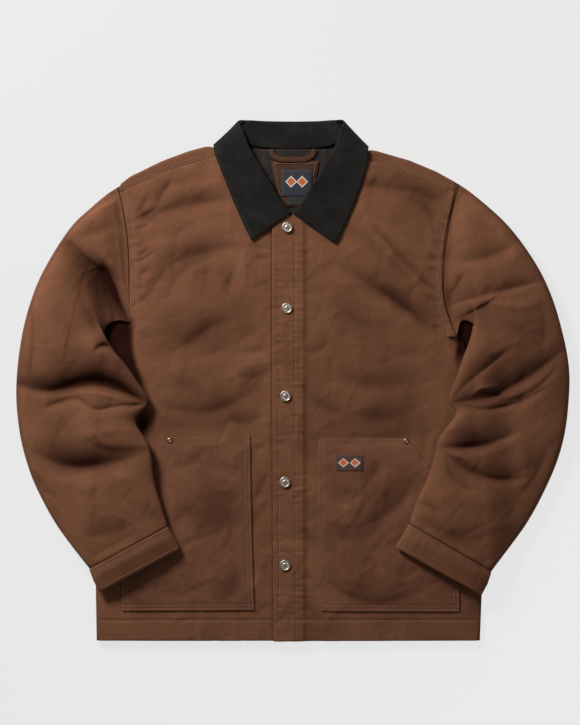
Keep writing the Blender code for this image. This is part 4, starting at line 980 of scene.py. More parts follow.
right_columns = spaced((0, 0.05, 15), (0.05, 1, 105))
left_columns = spaced((0, 0.05, 15), (0.05, 0.855, 84), (0.855, 0.93, 19), (0.93, 0.97, 6), (0.97, 1, 9))
front_rows = spaced((0, 0.034, 8), (0.034, 0.048, 14), (0.048, 0.66, 150), (0.66, 1.0, 82))
front_right = make_front("cloth_front_right", -1, front_height, right_columns, front_rows)
front_left = make_front("cloth_front_left", 1, placket_height, left_columns, front_rows)
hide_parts("front_right")
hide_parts("front_left")
print("front faces:", len(front_right.data.polygons), len(front_left.data.polygons))

# %% [markdown]
# ## The back
# One panel lies flat under everything. At its sides and shoulders it turns round a small radius and comes
# back over the top to meet the fronts, as cloth does when a jacket is smoothed flat. So it is laid out flat
# first, and a second function rolls whatever lies past the fold.


# %% Back panel
def back_surface():
    """The unrolled back, and how much cloth one half turn takes up."""
    turn = math.pi * ROLL_RADIUS
    wrap = turn + (SIDE_SEAM_INSET * SQUARE - ROLL_RADIUS) - 1.5

    def crown(s):
        s = np.asarray(s, float)
        left = along(place(FORWARD_SEAM_LEFT), s / 0.34)
        right = along(place(FORWARD_SEAM_RIGHT)[::-1], (s - 0.66) / 0.34)
        shoulder = np.where((s < 0.5)[..., None], left, right)
        fold = shoulder_fold(shoulder[..., 0])
        beyond = fold - ROLL_RADIUS - shoulder[..., 1]
        shoulder = np.stack([shoulder[..., 0], fold - ROLL_RADIUS + turn + beyond - SEAM], -1)
        neck = np.stack([-76.5 + 151.5 * (s - 0.345) / 0.31, 333.8 - 2.0 * np.cos((s - 0.5) * 9.0)], -1)
        middle = (s > 0.342) & (s < 0.658)
        return np.where(middle[..., None], neck, shoulder)

    def flank(side, armhole):
        top = crown(np.array([0.0 if side < 0 else 1.0]))
        pit = place(np.array([[armhole[-2][0] * 0.45 + armhole[-1][0] * 0.55, 314.0]]))
        sleeve = np.concatenate([pit, place(armhole[-2:0:-1]), top])

        def curve(t):
            t = np.asarray(t, float)
            y = HEM_LEVEL + (pit[0, 1] - 3.0 - HEM_LEVEL) * t / SEAM_SHARE
            left, right = side_edges(np.minimum(y, ARM_FLOOR))
            reach = np.where(y < 30.0, wrap * smooth((26.0 - y) / 22.0), ROLL_RADIUS + 2.0)
            reach = reach + (12.0 if side < 0 else 20.0) * smooth((y - 34.0) / 18.0)
            x = left + ROLL_RADIUS - reach if side < 0 else right - ROLL_RADIUS + reach
            hole = along(sleeve, (t - SEAM_SHARE) / HOLE_SHARE)
            return np.where((t < SEAM_SHARE)[..., None], np.stack([x, y], -1), hole)

        return curve

    def low(s):
        ends = flank(-1, ARMHOLE_LEFT)(np.zeros(1)), flank(1, ARMHOLE_RIGHT)(np.zeros(1))
        x = ends[0][0, 0] + (ends[1][0, 0] - ends[0][0, 0]) * np.asarray(s, float)
        return np.stack([x, np.full_like(x, (CENTRE[1] - HEM_Y + 0.4) * SQUARE)], -1)

    return patch(low, crown, flank(-1, ARMHOLE_LEFT), flank(1, ARMHOLE_RIGHT)), turn


def round_fold(past, turn, radius):
    """Flat length past a fold, as distance across and above its axis: an angle first, then straight on."""
    angle = np.clip(past, 0.0, turn) / ROLL_RADIUS
    return radius * np.sin(angle) - np.maximum(past - turn, 0.0), ROLL_RADIUS - radius * np.cos(angle)


def rolled(xy, turn, depth):
    """The flat back with its sides, then its shoulders, turned over; depth is how far in the wall a point lies."""
    radius = ROLL_RADIUS - depth
    x, y = xy[..., 0], xy[..., 1]
    left, right = side_edges(np.minimum(y, ARM_FLOOR))
    past_left = np.where(y < 30.0, left + ROLL_RADIUS - x, -1.0)
    past_right = np.where(y < 30.0, x - right + ROLL_RADIUS, -1.0)
    past = np.maximum(past_left, past_right)
    sign = np.where(past_left > past_right, -1.0, 1.0)
    edge = np.where(sign < 0, left + ROLL_RADIUS, right - ROLL_RADIUS)
    across, up = round_fold(past, turn, radius)
    x = np.where(past > 0, edge + sign * across, x)
    z = np.where(past > 0, up, depth)
    neck = (np.abs(x + 0.75) < 76.4) & (y > 320.0)
    fold = shoulder_fold(x) - ROLL_RADIUS
    over = np.where((y > UNDERARM) & ~neck, y - fold, -1.0)
    across, up = round_fold(over, turn, radius)
    y = np.where(over > 0, fold + across, y)
    z = np.where(over > 0, up, z)
    return np.stack([x, y, z + neck_lift(x, y)], -1)


back_flat, half_turn = back_surface()
edge_columns = 0.034 * np.linspace(0, 1, 16)
middle_columns = np.concatenate([np.linspace(0.0412, 0.3405, 26), [0.3418, 0.3422], np.linspace(0.3475, 0.5, 14)])
back_columns = np.concatenate([edge_columns, middle_columns])
back_columns = np.concatenate([back_columns, 1.0 - back_columns[-2::-1]])
upper_rows = [np.linspace(0.67, 0.90, 34), np.linspace(0.905, 1, 30)]
back_rows = np.concatenate([np.linspace(0, 0.635, 60), [0.645, 0.655, 0.66], *upper_rows])
grid_s, grid_t = np.meshgrid(back_columns, back_rows)
back_xy = back_flat(grid_s, grid_t)
back_outer, back_inner = rolled(back_xy, half_turn, 0.0), rolled(back_xy, half_turn, WALL)
# Painted shade on the back where it shows in the gaps under the arms.
underarm_shade = smooth((np.abs(back_xy[..., 0] + 10.0) - 205.0) / 10.0) * smooth((back_xy[..., 1] - 10.0) / 20.0)
underarm_shade = underarm_shade * smooth((112.0 - back_xy[..., 1]) / 10.0)
back = sheet("cloth_back", back_outer, back_inner, canvas_back, {"painted_shade": underarm_shade, "worn": 0.0}, back_xy)
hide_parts("back")
print("back faces:", len(back.data.polygons))

# %% [markdown]
# ## Patch pockets
# Each pocket is its own piece of canvas sewn on round three sides, with a slanted corner for the hand. It is
# cut to four curves like a front, lies one wall above the front, and puffs up a little in its middle.

# %% Pockets
POCKET_LEFT = {
    "front": [(253.8, 609.6), (251.2, 520), (249.7, 436)],
    "mouth": [(249.7, 436), (169.6, 438.2), (150, 458), (122.5, 500)],
    "side": [(122.5, 500), (121.5, 556), (122.5, 610.4)],
}
POCKET_RIGHT = {
    "front": [(322.2, 610.6), (318.0, 520), (318.4, 438.6)],
    "mouth": [(318.4, 438.6), (406.6, 438.2), (429.0, 467), (456.0, 505)],
    "side": [(456.0, 505), (458.5, 556), (459.0, 611.2)],
}


def pocket_cut(rows):
    """Flat cut of a patch pocket, with the hand slant at its top corner."""
    front, side = place(rows["front"]), place(rows["side"])
    mouth = joined(place(rows["mouth"][:2]), place(rows["mouth"][1:]), 0.52)
    low = place([rows["front"][0], rows["side"][-1]])
    return patch(lambda s: along(low, s), mouth, lambda t: along(front, t), lambda t: along(side[::-1], t))


def pocket_rim(rows, x, y):
    """Share of the way in from the pocket's nearest edge."""
    low, high = place(rows["front"][0]), place(rows["mouth"][1])
    out = place(rows["side"][-1])
    across = (x - low[0]) / (out[0] - low[0])
    up = (y - low[1]) / (high[1] - low[1])
    slant = 1.0 - up + 0.62 * np.clip(0.42 - across, -1.0, 0.0)
    return np.clip(np.minimum(np.minimum(across, 1.0 - across), np.minimum(up, slant)), 0.0, 1.0)


def pocket_top(rows, under, x, y, seams=()):
    """The front under it, a wall and the seam, plus the puff and its folds away from the sewn rim."""
    rim = pocket_rim(rows, x, y)
    puff = 2.6 * smooth(rim / 0.3) + fold_relief("pocket", x, y, FOLDS)
    puff = puff + ripple(x, y, 1.0, 5) + crumple(x, y, 1.9, 6)
    puff = np.clip(puff, 0.0, 4.0) * smooth(rim / 0.08)
    return under(x, y) + SEAM + POCKET_WALL + puff + seam_relief(x, y, seams)


def toward(line, middle, by):
    """A line moved by this many millimetres to the side on which a point lies."""
    half = len(line) // 2
    run = unit(line[half + 1] - line[half - 1])
    away = middle - line[half]
    return offset(line, by if run[0] * away[1] - run[1] * away[0] > 0 else -by)


def pocket_lines(rows):
    """Two rows of stitches round the sewn edges and along the mouth, one along the slant."""
    mouth, front, side = place(rows["mouth"]), place(rows["front"]), place(rows["side"])
    middle = (front[0] + front[-1] + side[-1] + mouth[-1]) / 4
    bottom = np.stack([front[0], side[-1]])
    lines = []
    for by in (2.4, 7.4):
        lines += [toward(along(line, dense), middle, by) for line in (front, bottom, side, mouth[:2])]
    lines.append(toward(along(mouth[1:], dense), middle, 3.0))
    return lines


def make_pocket(name, rows, under):
    """The cut on a fine grid, raised on the front below it."""
    near_edge = np.linspace(0, 0.052, 14)[:-1]
    columns = np.concatenate([near_edge, np.linspace(0.052, 0.948, 74), 1.0 - near_edge[::-1]])
    down_rows = np.concatenate([near_edge * 0.78, np.linspace(0.041, 0.959, 90), 1.0 - near_edge[::-1] * 0.78])
    grid_s, grid_t = np.meshgrid(columns, down_rows)
    xy = pocket_cut(rows)(grid_s, grid_t)
    x, y = xy[..., 0], xy[..., 1]
    lines = pocket_lines(rows)
    seams = [(line, 0.55, 0.26, 8.0, 5.0) for line in lines]
    outer = lifted(xy, pocket_top(rows, under, x, y, seams))
    relief = fold_relief("pocket", x, y, FOLDS)
    rim = pocket_rim(rows, x, y)
    # Painted shade in the pocket's creases; its sewn rim is slightly rubbed.
    finish = {"painted_shade": crease_shade_of(relief, 4.0) * 0.5, "worn": 0.25 * np.exp(-((rim / 0.015) ** 2))}
    piece = sheet(name, outer, outer - np.array([0, 0, POCKET_WALL]), canvas_pocket, finish, xy)
    return piece, lines, seams


pocket_right, lines_right, seams_right = make_pocket("cloth_pocket_right", POCKET_LEFT, front_height)
pocket_left, lines_left, seams_left = make_pocket("cloth_pocket_left", POCKET_RIGHT, placket_height)
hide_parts("pocket_right")
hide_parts("pocket_left")
print("pocket faces:", len(pocket_left.data.polygons))

# %% [markdown]
# ## Sleeves
# A sleeve is a tube that has been laid down: its sections are flattened rings, and its axis bends at the
# elbow. Each row of the table gives where the inner and outer edge lie and how thick the tube is there. The
# upper sleeve and the under sleeve are separate pieces of cloth with a seam at the elbow, so each gets its
# own share of the ring.


# %% Sleeve surface
FULLNESS, UNDER_SHARE = 2.6, 0.42


def stepped_normal(surface, s, t, step, t_ends, s_ends=(-np.inf, np.inf)):
    """Unit cross product of small steps of s and t, each kept between its ends."""
    ds = surface(np.minimum(s + step, s_ends[1]), t) - surface(np.maximum(s - step, s_ends[0]), t)
    dt = surface(s, np.minimum(t + step, t_ends[1])) - surface(s, np.maximum(t - step, t_ends[0]))
    return unit(np.cross(ds, dt))


def flat_ring(angle):
    """Half of a flattened ring, 0 at its edges and 1 in its middle: (1 - |cos|^2.6)^(1 / 2.6)."""
    return (1.0 - np.abs(np.cos(angle)) ** FULLNESS) ** (1 / FULLNESS)


def under_sleeve(x, y):
    """Height of what the sleeve lies on: the table outside the body, then the front and its pocket."""
    left, right = side_edges(y)
    past = np.maximum(smooth((x - left + 54.0) / 48.0) * (x < 0), smooth((right + 54.0 - x) / 48.0) * (x > 0))
    pocket = smooth((-78.0 - y) / 20.0) * (WALL + 1.6)
    return past * smooth((UNDERARM - y) / 40.0) * (front_height(x, y, ()) + 1.4 + pocket)


TUCK = 400.0


def sleeve_surface(rows, armhole, piece):
    """s runs round the ring from the inner edge over the top, t from the armhole (below 0: sewn under) to the cuff."""
    table = np.asarray(rows, float)
    sections = np.concatenate([place(table[:, :2]), place(table[:, 2:4]), table[:, 4:]], -1)
    knots = np.linspace(0.0, 1.0, len(rows))
    seam = place(armhole)
    seed = 11 if piece == "left" else 12

    def surface(s, t, detail=True):
        s, t = np.broadcast_arrays(np.asarray(s, float), np.asarray(t, float))
        row = hermite(sections, knots, np.maximum(t, 0.0))
        angle = 2.0 * math.pi * s
        across = (1.0 - np.cos(angle)) / 2.0
        a, b, bow, height = row[..., 0:2], row[..., 2:4], row[..., 4], row[..., 5]
        xy = a + (b - a) * across[..., None]
        chord = seam[-1] + (seam[0] - seam[-1]) * across[..., None]
        xy = xy + (along(seam[::-1], across) - chord) * bow[..., None]
        inward = np.stack([np.full_like(across, 1.0 if piece == "left" else -1.0), 0.6 * across], -1)
        xy = xy - TUCK * np.minimum(t, 0.0)[..., None] * inward
        x, y = xy[..., 0], xy[..., 1]
        profile = flat_ring(angle)
        at_seam = smooth(1.0 - np.maximum(t, 0.0) * (len(rows) - 1) / 1.6)
        top = height * (1 - at_seam) + np.maximum(front_height(x, y, ()) - 0.5, 8.0) * at_seam
        top = top + 190.0 * np.minimum(t, 0.0) - 260.0 * np.maximum(t - 0.998, 0.0)
        edge = UNDER_SHARE * top
        relief = fold_relief(piece, x, y, FOLDS) if detail else np.zeros_like(x)
        near_seam = smooth(1.0 - np.maximum(t, 0.0) * (len(rows) - 1) / 0.7)
        relief = relief + 1.6 * ripple(x, y, 1.0, seed) + 1.7 * crumple(x, y, 1.0, seed)
        relief = relief * profile * (1 - near_seam)
        relief = np.maximum(relief, -(top - edge) * profile - edge + 7.0)
        over = np.sin(angle) >= 0
        below = edge - edge * profile + 3.0 * smooth(-t / 0.006)
        z = np.where(over, edge + (top - edge) * profile + relief, below)
        return np.stack([x, y, z + under_sleeve(x, y)], -1)

    return surface


def tube_sheet(name, surface, s, t, wall, finish, piece):
    """Part of the tube's wall. Its normals come from small steps of s and t, and point away from the axis."""
    grid_s, grid_t = np.meshgrid(s, t)
    outer = surface(grid_s, grid_t)
    n = stepped_normal(surface, grid_s, grid_t, 2e-3, (t.min(), max(t.max(), 1.0)))
    axis = (surface(np.full_like(grid_s, 0.25), grid_t) + surface(np.full_like(grid_s, 0.75), grid_t)) / 2
    n = -n if ((outer - axis) * n).sum() < 0 else n
    # Painted shade in the folds' creases, with thin dark lines of painted shade where the sleeve meets the armhole and
    # the cuff.
    relief = fold_relief(piece, outer[..., 0], outer[..., 1], FOLDS) * (np.sin(2 * np.pi * grid_s) > 0)
    seam = 0.9 * np.exp(-((grid_t / 0.004) ** 2))
    seam = seam + 0.8 * np.exp(-(((grid_t - 1.0) / 0.004) ** 2)) * (piece != "none")
    finish_at = {"painted_shade": np.maximum(crease_shade_of(relief, 14.0), np.clip(seam, 0, 1)), "worn": np.zeros_like(relief)}
    return sheet(name, outer, outer - n * wall, finish, finish_at)


# %% Make the sleeves
around_top = spaced((0.004, 0.06, 14), (0.06, 0.44, 108))
under_parts = (0.445, 0.53, 22), (0.54, 0.97, 24), (0.974, 0.996, 5)
around_under = np.concatenate([np.linspace(*part) for part in under_parts])
head_rows = (-0.03, -0.006, 4), (-0.006, 0.0, 3), (0.0, 0.09, 24)
down = spaced(*head_rows, (0.09, 0.66, 150), (0.66, 0.998, 74), (0.998, 1.012, 4))
sleeves = {}
for side, rows, armhole, piece in (
    ("right", SLEEVE_LEFT, ARMHOLE_LEFT, "left"),
    ("left", SLEEVE_RIGHT, ARMHOLE_RIGHT, "right"),
):
    tube = sleeve_surface(rows, armhole, piece)
    upper = tube_sheet(f"cloth_sleeve_upper_{side}", tube, around_top, down, WALL, canvas, piece)
    under = tube_sheet(f"cloth_sleeve_under_{side}", tube, around_under, down, WALL, canvas_back, piece)
    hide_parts(*[f"sleeve_upper_{side}_{length}" for length in ("arm", "elbow", "forearm")])
    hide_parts(*[f"sleeve_under_{side}_{length}" for length in ("arm", "elbow", "forearm")])
    sleeves[side] = (tube, upper, under)
print("sleeve faces:", [len(p.data.polygons) for p in sleeves["left"][1:]])

# %% [markdown]
# ## Cuffs
# The cuff is a band sewn to the sleeve's end. It keeps the sleeve's flattened ring for its whole depth, and
# a soft ridge runs along it where the seam's layers end inside.

# %% Cuffs
CUFF_LEFT = [
    # inner x, y, outer x, y, height
    (168.9, 525.8, 90.1, 568.8, 23.0),
    (175.0, 536.5, 94.0, 579.5, 21.5),
    (180.4, 547.8, 99.3, 591.1, 15.0),
]
CUFF_RIGHT = [
    # the same columns
    (408.1, 523.4, 490.6, 571.8, 23.0),
    (401.5, 534.5, 487.0, 583.0, 21.5),
    (394.9, 545.8, 481.4, 594.0, 15.0),
]
cuff_s, cuff_t = np.linspace(0, 0.994, 150), np.linspace(0.01, 1, 18)


def cuff_surface(rows, seed):
    """The sleeve's ring between two edges, with puckers across it and a ridge along its middle."""
    table = np.asarray(rows, float)
    a, b = place(table[:, :2]), place(table[:, 2:4])
    knots = np.linspace(0, 1, len(rows))

    def surface(s, t):
        s, t = np.broadcast_arrays(np.asarray(s, float), np.asarray(t, float))
        angle = 2.0 * math.pi * s
        across = ((1.0 - np.cos(angle)) / 2.0)[..., None]
        first, last = read_off(a, knots, t), read_off(b, knots, t)
        xy = first + (last - first) * across
        x, y = xy[..., 0], xy[..., 1]
        height = np.interp(t, knots, table[:, 4])
        profile = flat_ring(angle)
        edge = UNDER_SHARE * height
        at = across[..., 0] * 130.0
        pucker = 0.35 * uneven_wave(at, 11.0, seed) * smooth(t / 0.2) * smooth((1 - t) / 0.3)
        ridge = 0.8 * np.exp(-(((t - 0.34) / 0.12) ** 2)) - 0.7 * np.exp(-(((t - 0.1) / 0.05) ** 2))
        relief = (pucker + ridge) * profile
        z = np.where(np.sin(angle) >= 0, edge + (height - edge) * profile + relief, edge - edge * profile)
        return np.stack([x, y, z + under_sleeve(x, y)], -1)

    return surface


cuffs = {}
for side, rows, seed in (("right", CUFF_LEFT, 21), ("left", CUFF_RIGHT, 22)):
    band = cuff_surface(rows, seed)
    cuff = tube_sheet(f"cloth_cuff_{side}", band, cuff_s, cuff_t, WALL + 0.4, canvas, "none")
    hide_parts(f"cuff_{side}")
    cuffs[side] = (band, cuff)
print("cuff faces:", len(cuff.data.polygons))

# %% [markdown]
# ## Collar
# The collar is one leaf that runs round the neck and turns at its roll line, with a narrow stand inside it.
# The table follows it from one point to the other: where it rolls, where its outer edge lies, and how deep
# the stand is. A point on the leaf is the roll line plus a share of the way to the edge.

# %% Collar surface
COLLAR = [
    # roll x, y, z, edge x, y, z, stand
    (291.0, 212.5, 20.0, 251.3, 239.6, 17.0, 6.0),
    (282.0, 202.6, 19.6, 242.9, 221.8, 16.2, 9.0),
    (270.0, 182.6, 19.2, 233.5, 200.4, 16.0, 12.0),
    (259.5, 165.4, 19.0, 224.0, 176.6, 16.6, 13.0),
    (249.8, 148.0, 18.6, 216.6, 157.4, 16.4, 12.0),
    (243.0, 131.0, 14.5, 214.0, 147.0, 13.0, 4.6),
    (238.5, 120.0, 6.5, 214.6, 144.0, 5.0, 24.0),
    (247.0, 119.4, 1.0, 225.0, 152.0, 0.1, 31.0),
    (266.0, 120.4, 0.3, 250.0, 164.0, 0.3, 38.5),
    (292.0, 120.8, 0.3, 291.5, 166.0, 0.3, 39.0),
    (318.0, 120.4, 0.3, 333.0, 164.0, 0.3, 38.5),
    (335.0, 119.2, 1.0, 357.0, 153.0, 0.3, 31.0),
    (343.5, 119.6, 6.5, 367.6, 145.8, 5.0, 24.0),
    (340.0, 131.0, 14.5, 368.0, 149.0, 13.0, 4.6),
    (334.8, 147.0, 18.6, 367.2, 158.6, 16.4, 12.0),
    (325.0, 164.0, 19.0, 361.0, 184.0, 16.6, 13.0),
    (314.5, 181.6, 19.2, 352.4, 205.6, 16.0, 12.0),
    (302.4, 201.4, 20.2, 343.6, 226.4, 16.2, 9.0),
    (292.4, 212.5, 20.4, 334.6, 242.4, 17.0, 6.0),
]
STAND_FROM = 0.388


def collar_frame(s):
    """Roll line, direction to the outer edge, outward normal, leaf width and stand width at s."""
    rows = np.asarray(COLLAR, float)
    roll = np.concatenate([place(rows[:, :2]), rows[:, 2:3]], -1)
    edge = np.concatenate([place(rows[:, 3:5]), rows[:, 5:6]], -1)
    table = np.concatenate([roll, edge, rows[:, 6:7]], -1)
    knots = np.linspace(0, 1, len(rows))
    here = hermite(table, knots, s)
    here[..., 2] = np.maximum(here[..., 2], 0.1)
    here[..., 5] = np.maximum(here[..., 5], 0.1)
    tangent = hermite(table, knots, np.minimum(s + 1e-3, 1.0)) - hermite(table, knots, np.maximum(s - 1e-3, 0.0))
    out = here[..., 3:6] - here[..., 0:3]
    width = np.linalg.norm(out, axis=-1, keepdims=True)
    out = out / width
    normal = unit(np.cross(tangent[..., 0:3], out))
    return here[..., 0:3], out, normal, width, here[..., 6:7]


def collar_leaf(s, q):
    """q below 0 curls round the roll line, q above it crosses to the outer edge."""
    s, q = np.broadcast_arrays(np.asarray(s, float), np.asarray(q, float))
    roll, out, normal, width, _ = collar_frame(s)
    angle = np.clip(-q, 0, 1)[..., None] * math.pi
    curl = COLLAR_RADIUS * (normal * (np.cos(angle) - 1.0) - out * np.sin(angle))
    flat = out * width * np.clip(q, 0, 1)[..., None]
    return roll + out * COLLAR_RADIUS + curl + flat * (1.0 - COLLAR_RADIUS / width)


def collar_stand(s, q):
    """The stand lies against the leaf, from the roll line to the neck seam."""
    s, q = np.broadcast_arrays(np.asarray(s, float), np.asarray(q, float))
    roll, out, normal, _, stand = collar_frame(s)
    start = roll + out * (COLLAR_RADIUS + SEAM) - normal * (2.0 * COLLAR_RADIUS + 0.5)
    return start + out * (stand - COLLAR_RADIUS - SEAM) * q[..., None]


def walled(surface, s, q, wall, name, finish):
    """A sheet from a surface of (s, q), its inside moved along the normal that small steps give."""
    grid_s, grid_q = np.meshgrid(s, q)
    n = stepped_normal(surface, grid_s, grid_q, 1e-3, (q.min(), q.max()), (s.min(), s.max()))
    outer = surface(grid_s, grid_q)
    front = smooth((np.abs(grid_s - 0.5) - 0.22) / 0.06)
    wave = ripple(outer[..., 0], outer[..., 1], 0.9, 31) * front * smooth(grid_q / 0.1)
    outer = outer + n * wave[..., None] * np.sign((n[..., 2:3] * front[..., None]).sum())
    return sheet(name, outer, outer - n * wall, finish, {"painted_shade": 0.0, "worn": 0.0})


leaf_s = np.linspace(0, 1, 236)
leaf_q = np.concatenate([np.linspace(-0.85, 0.0, 12), np.linspace(0.05, 1.0, 24)])
leaf = walled(collar_leaf, leaf_s, leaf_q, WALL, "cloth_collar_leaf", black)
stand_s, stand_q = np.linspace(STAND_FROM, 1 - STAND_FROM, 70), np.linspace(0, 1, 16)
stand = walled(collar_stand, stand_s, stand_q, -WALL, "cloth_collar_stand", black)
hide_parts("collar_leaf")
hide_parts("collar_stand")
print("collar faces:", len(leaf.data.polygons), len(stand.data.polygons))

# %% [markdown]
# ## Inside the neck
# Behind the open collar lie the satin lining, a small facing of canvas, the woven label, its size tag and
# the hanging loop, each on top of the one before it.

# %% Neck pieces
NECK_LINING = [(262, 214), (322, 216), (339, 149.2), (246, 149.2)]
FACING_PATCH = [(280, 206), (310, 206), (319, 161), (271.5, 161)]
NECK_LABEL = [(281.5, 196.1), (311.8, 196.1), (311.8, 169.6), (281.5, 169.6)]
SIZE_TAG = [(288.4, 204.6), (305.7, 204.6), (305.7, 196.8), (288.4, 196.8)]
POCKET_LABEL = [(336.2, 470.2), (362.3, 470.2), (362.3, 455.1), (336.2, 455.1)]
HANGER_LOOP = [
    (271.0, 149.5), (272.4, 154.5), (278, 158.4), (292, 159.2), (306, 158.8), (312.4, 154.6), (314.9, 149.5),
]


def cornered(rows, s, t):
    """Straight mix of four corners: bottom left, bottom right, top right, top left."""
    corner = place(rows)
    s3, t3 = s[..., None], t[..., None]
    low = corner[0] + (corner[1] - corner[0]) * s3
    high = corner[3] + (corner[2] - corner[3]) * s3
    return low + (high - low) * t3


def on_back(x, y):
    """Top of the back panel, with room for a seam."""
    return neck_lift(x, y) + WALL + SEAM


def on_lining(x, y):
    """Top of the lining, likewise."""
    return on_back(x, y) + LINING_WALL + SEAM


def on_patch(x, y):
    """Top of the canvas facing, likewise."""
    return on_lining(x, y) + PATCH_WALL + SEAM


def flat_piece(name, rows, height, wall, finish, cells, relief=None):
    """Four corners on a fine grid, laid on what is under them."""
    grid_s, grid_t = np.meshgrid(np.linspace(0, 1, cells[0]), np.linspace(0, 1, cells[1]))
    xy = cornered(rows, grid_s, grid_t)
    x, y = xy[..., 0], xy[..., 1]
    top = height(x, y) + wall + (0.0 if relief is None else relief(x, y))
    outer = lifted(xy, top)
    centre = place(rows).mean(0)
    return sheet(name, outer, outer - np.array([0, 0, wall]), finish, {"painted_shade": 0.0, "worn": 0.0}, xy - centre)


def lining_wrinkles(x, y):
    """Soft folds that fan out from the neck seam, fading under the facing."""
    fan = np.sin((x * 0.9 + (y - 330.0) * 0.25) / 5.2) + 0.6 * np.sin((x - 0.7 * y) / 8.5)
    clear = smooth((np.abs(x - 3.5) - 36.0) / 8.0)
    return 0.9 * clear * (0.5 + 0.5 * fan)


lining = flat_piece("cloth_neck_lining", NECK_LINING, on_back, LINING_WALL, satin, (64, 48), lining_wrinkles)
facing = flat_piece("cloth_neck_facing_patch", FACING_PATCH, on_lining, PATCH_WALL, canvas_inside, (14, 14))
neck_label = flat_piece("cloth_neck_label", NECK_LABEL, on_patch, LABEL_WALL, neck_label_weave, (10, 10))
size_tag = flat_piece("cloth_size_tag", SIZE_TAG, on_patch, LABEL_WALL, size_tag_weave, (20, 12))


def label_rest(x, y):
    """The pocket's own surface under its label."""
    return pocket_top(POCKET_RIGHT, placket_height, x, y) + SEAM


pocket_label = flat_piece("cloth_pocket_label", POCKET_LABEL, label_rest, LABEL_WALL, pocket_label_weave, (30, 20))
for piece, solid in (
    (lining, "neck_lining"),
    (facing, "neck_facing_patch"),
    (neck_label, "neck_label"),
    (size_tag, "size_tag"),
    (pocket_label, "pocket_label"),
):
    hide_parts(solid)
LOOP_HALF_WIDTH, LOOP_WALL = 3.5, 1.4
path, side_steps = along(place(HANGER_LOOP), dense), np.linspace(-1, 1, 9)
strips = np.stack([offset(path, LOOP_HALF_WIDTH * k) for k in side_steps])
arch = 0.2 + 1.6 * np.sin(np.pi * dense) ** 0.5 + 0.5 * (1.0 - side_steps[:, None] ** 2)
strap = lifted(strips, on_lining(strips[..., 0], strips[..., 1]) + arch + LOOP_WALL)
strap_inside = strap - np.array([0, 0, LOOP_WALL])
loop = sheet("cloth_hanger_loop", strap, strap_inside, canvas_inside, {"painted_shade": 0.0, "worn": 0.0})
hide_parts("hanger_loop")
print("neck pieces made")

# %% [markdown]
# ## Snaps and rivets
# A snap's cap is a pressed disc: a round rim, a recessed ring with a row of beads and a raised middle. It is
# turned from one profile, and the beads are a wave round the ring. A rivet is a small dome with a pin in it.

# %% Metal parts
SNAPS = [(287.2, 227.4), (286.9, 308.2), (285.5, 396.0), (285.0, 482.0), (285.0, 565.0)]
RIVETS = [(169.8, 440.2), (406.2, 441.0)]


def turned_part(name, profile, centre, finish, beads=0, steps=96):
    """Each (radius, height) of the profile is carried round the axis; beads add a wave where the profile says."""
    profile = np.asarray(profile, float)
    turn = np.linspace(0, 2 * np.pi, steps, endpoint=False)
    radius, height, wave = profile[1:-1, 0], profile[1:-1, 1], profile[1:-1, 2]
    lift = height[:, None] + wave[:, None] * (0.5 + 0.5 * np.cos(turn * beads))
    ring = np.stack([radius[:, None] * np.cos(turn), radius[:, None] * np.sin(turn), lift], -1)
    poles = np.array([[0, 0, profile[0, 1]], [0, 0, profile[-1, 1]]])
    points = np.concatenate([ring.reshape(-1, 3), poles]) + np.asarray(centre)
    levels = len(radius)
    index = np.arange(levels * steps).reshape(levels, steps)
    beside = np.roll(index, -1, axis=1)
    body = np.stack([index[:-1], beside[:-1], beside[1:], index[1:]], -1).reshape(-1, 4)
    under, over = levels * steps, levels * steps + 1
    bottom = np.stack([beside[0], index[0], np.full(steps, under), np.full(steps, under)], -1)
    top = np.stack([index[-1], beside[-1], np.full(steps, over), np.full(steps, over)], -1)
    high = np.interp(lift, [height.min(), height.max()], [0.0, 1.0])
    worn = np.concatenate([high.ravel() ** 2, [0.0, 0.8]])
    return mesh_object(name, points, np.concatenate([body, bottom, top]), finish, {"worn": worn})


CAP = [
    # radius, height, bead height
    (0, 0, 0), (6.8, 0, 0), (7.6, 0.3, 0), (7.95, 0.9, 0), (8.0, 1.5, 0), (7.9, 2.1, 0), (7.6, 2.6, 0),
    (7.1, 2.9, 0), (6.6, 2.95, 0), (6.1, 2.75, 0), (5.8, 2.3, 0), (5.5, 2.0, 0), (5.2, 1.9, 0.25),
    (4.8, 1.9, 0.6), (4.4, 1.9, 0.6), (4.0, 1.9, 0.25), (3.7, 2.0, 0), (3.4, 2.3, 0), (3.0, 2.6, 0),
    (2.5, 2.75, 0), (1.6, 2.8, 0), (0.8, 2.85, 0), (0, 2.85, 0),
]
HEAD = [
    (0, 0, 0), (3.3, 0, 0), (3.9, 0.2, 0), (4.0, 0.6, 0), (3.7, 1.0, 0), (3.1, 1.4, 0), (2.2, 1.65, 0),
    (1.6, 1.6, 0), (1.3, 1.1, 0), (1.1, 1.1, 0), (0.9, 1.5, 0), (0.5, 1.7, 0), (0, 1.7, 0),
]
for i, spot in enumerate(SNAPS):
    centre = place(spot)
    rest = float(placket_height(centre[:1], centre[1:], FOLDS, SEAMS_BODY)[0])
    cap = turned_part(f"snap_cap_{i + 1}", CAP, (*centre, rest + 0.3), pewter, beads=22)
    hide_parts(f"snap_{i + 1}")
for side, spot, rows, under in (
    ("right", RIVETS[0], POCKET_LEFT, front_height),
    ("left", RIVETS[1], POCKET_RIGHT, placket_height),
):
    centre = place(spot)
    rest = float(pocket_top(rows, under, centre[:1], centre[1:])[0])
    head = turned_part(f"rivet_head_{side}", HEAD, (*centre, rest + 0.1), copper, steps=48)
    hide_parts(f"rivet_{side}")
print("metal parts:", len(SNAPS) + len(RIVETS))

# %% [markdown]
# ## Stitches
# Topstitching is a row of short floats of thread, each sunk a little at its ends. One small capsule is
# copied along every sewn line, turned to the line and to the cloth under it. The real stitch is 3.2 mm long
# and 0.5 mm thick; it is drawn 1 mm thick so that it shows.


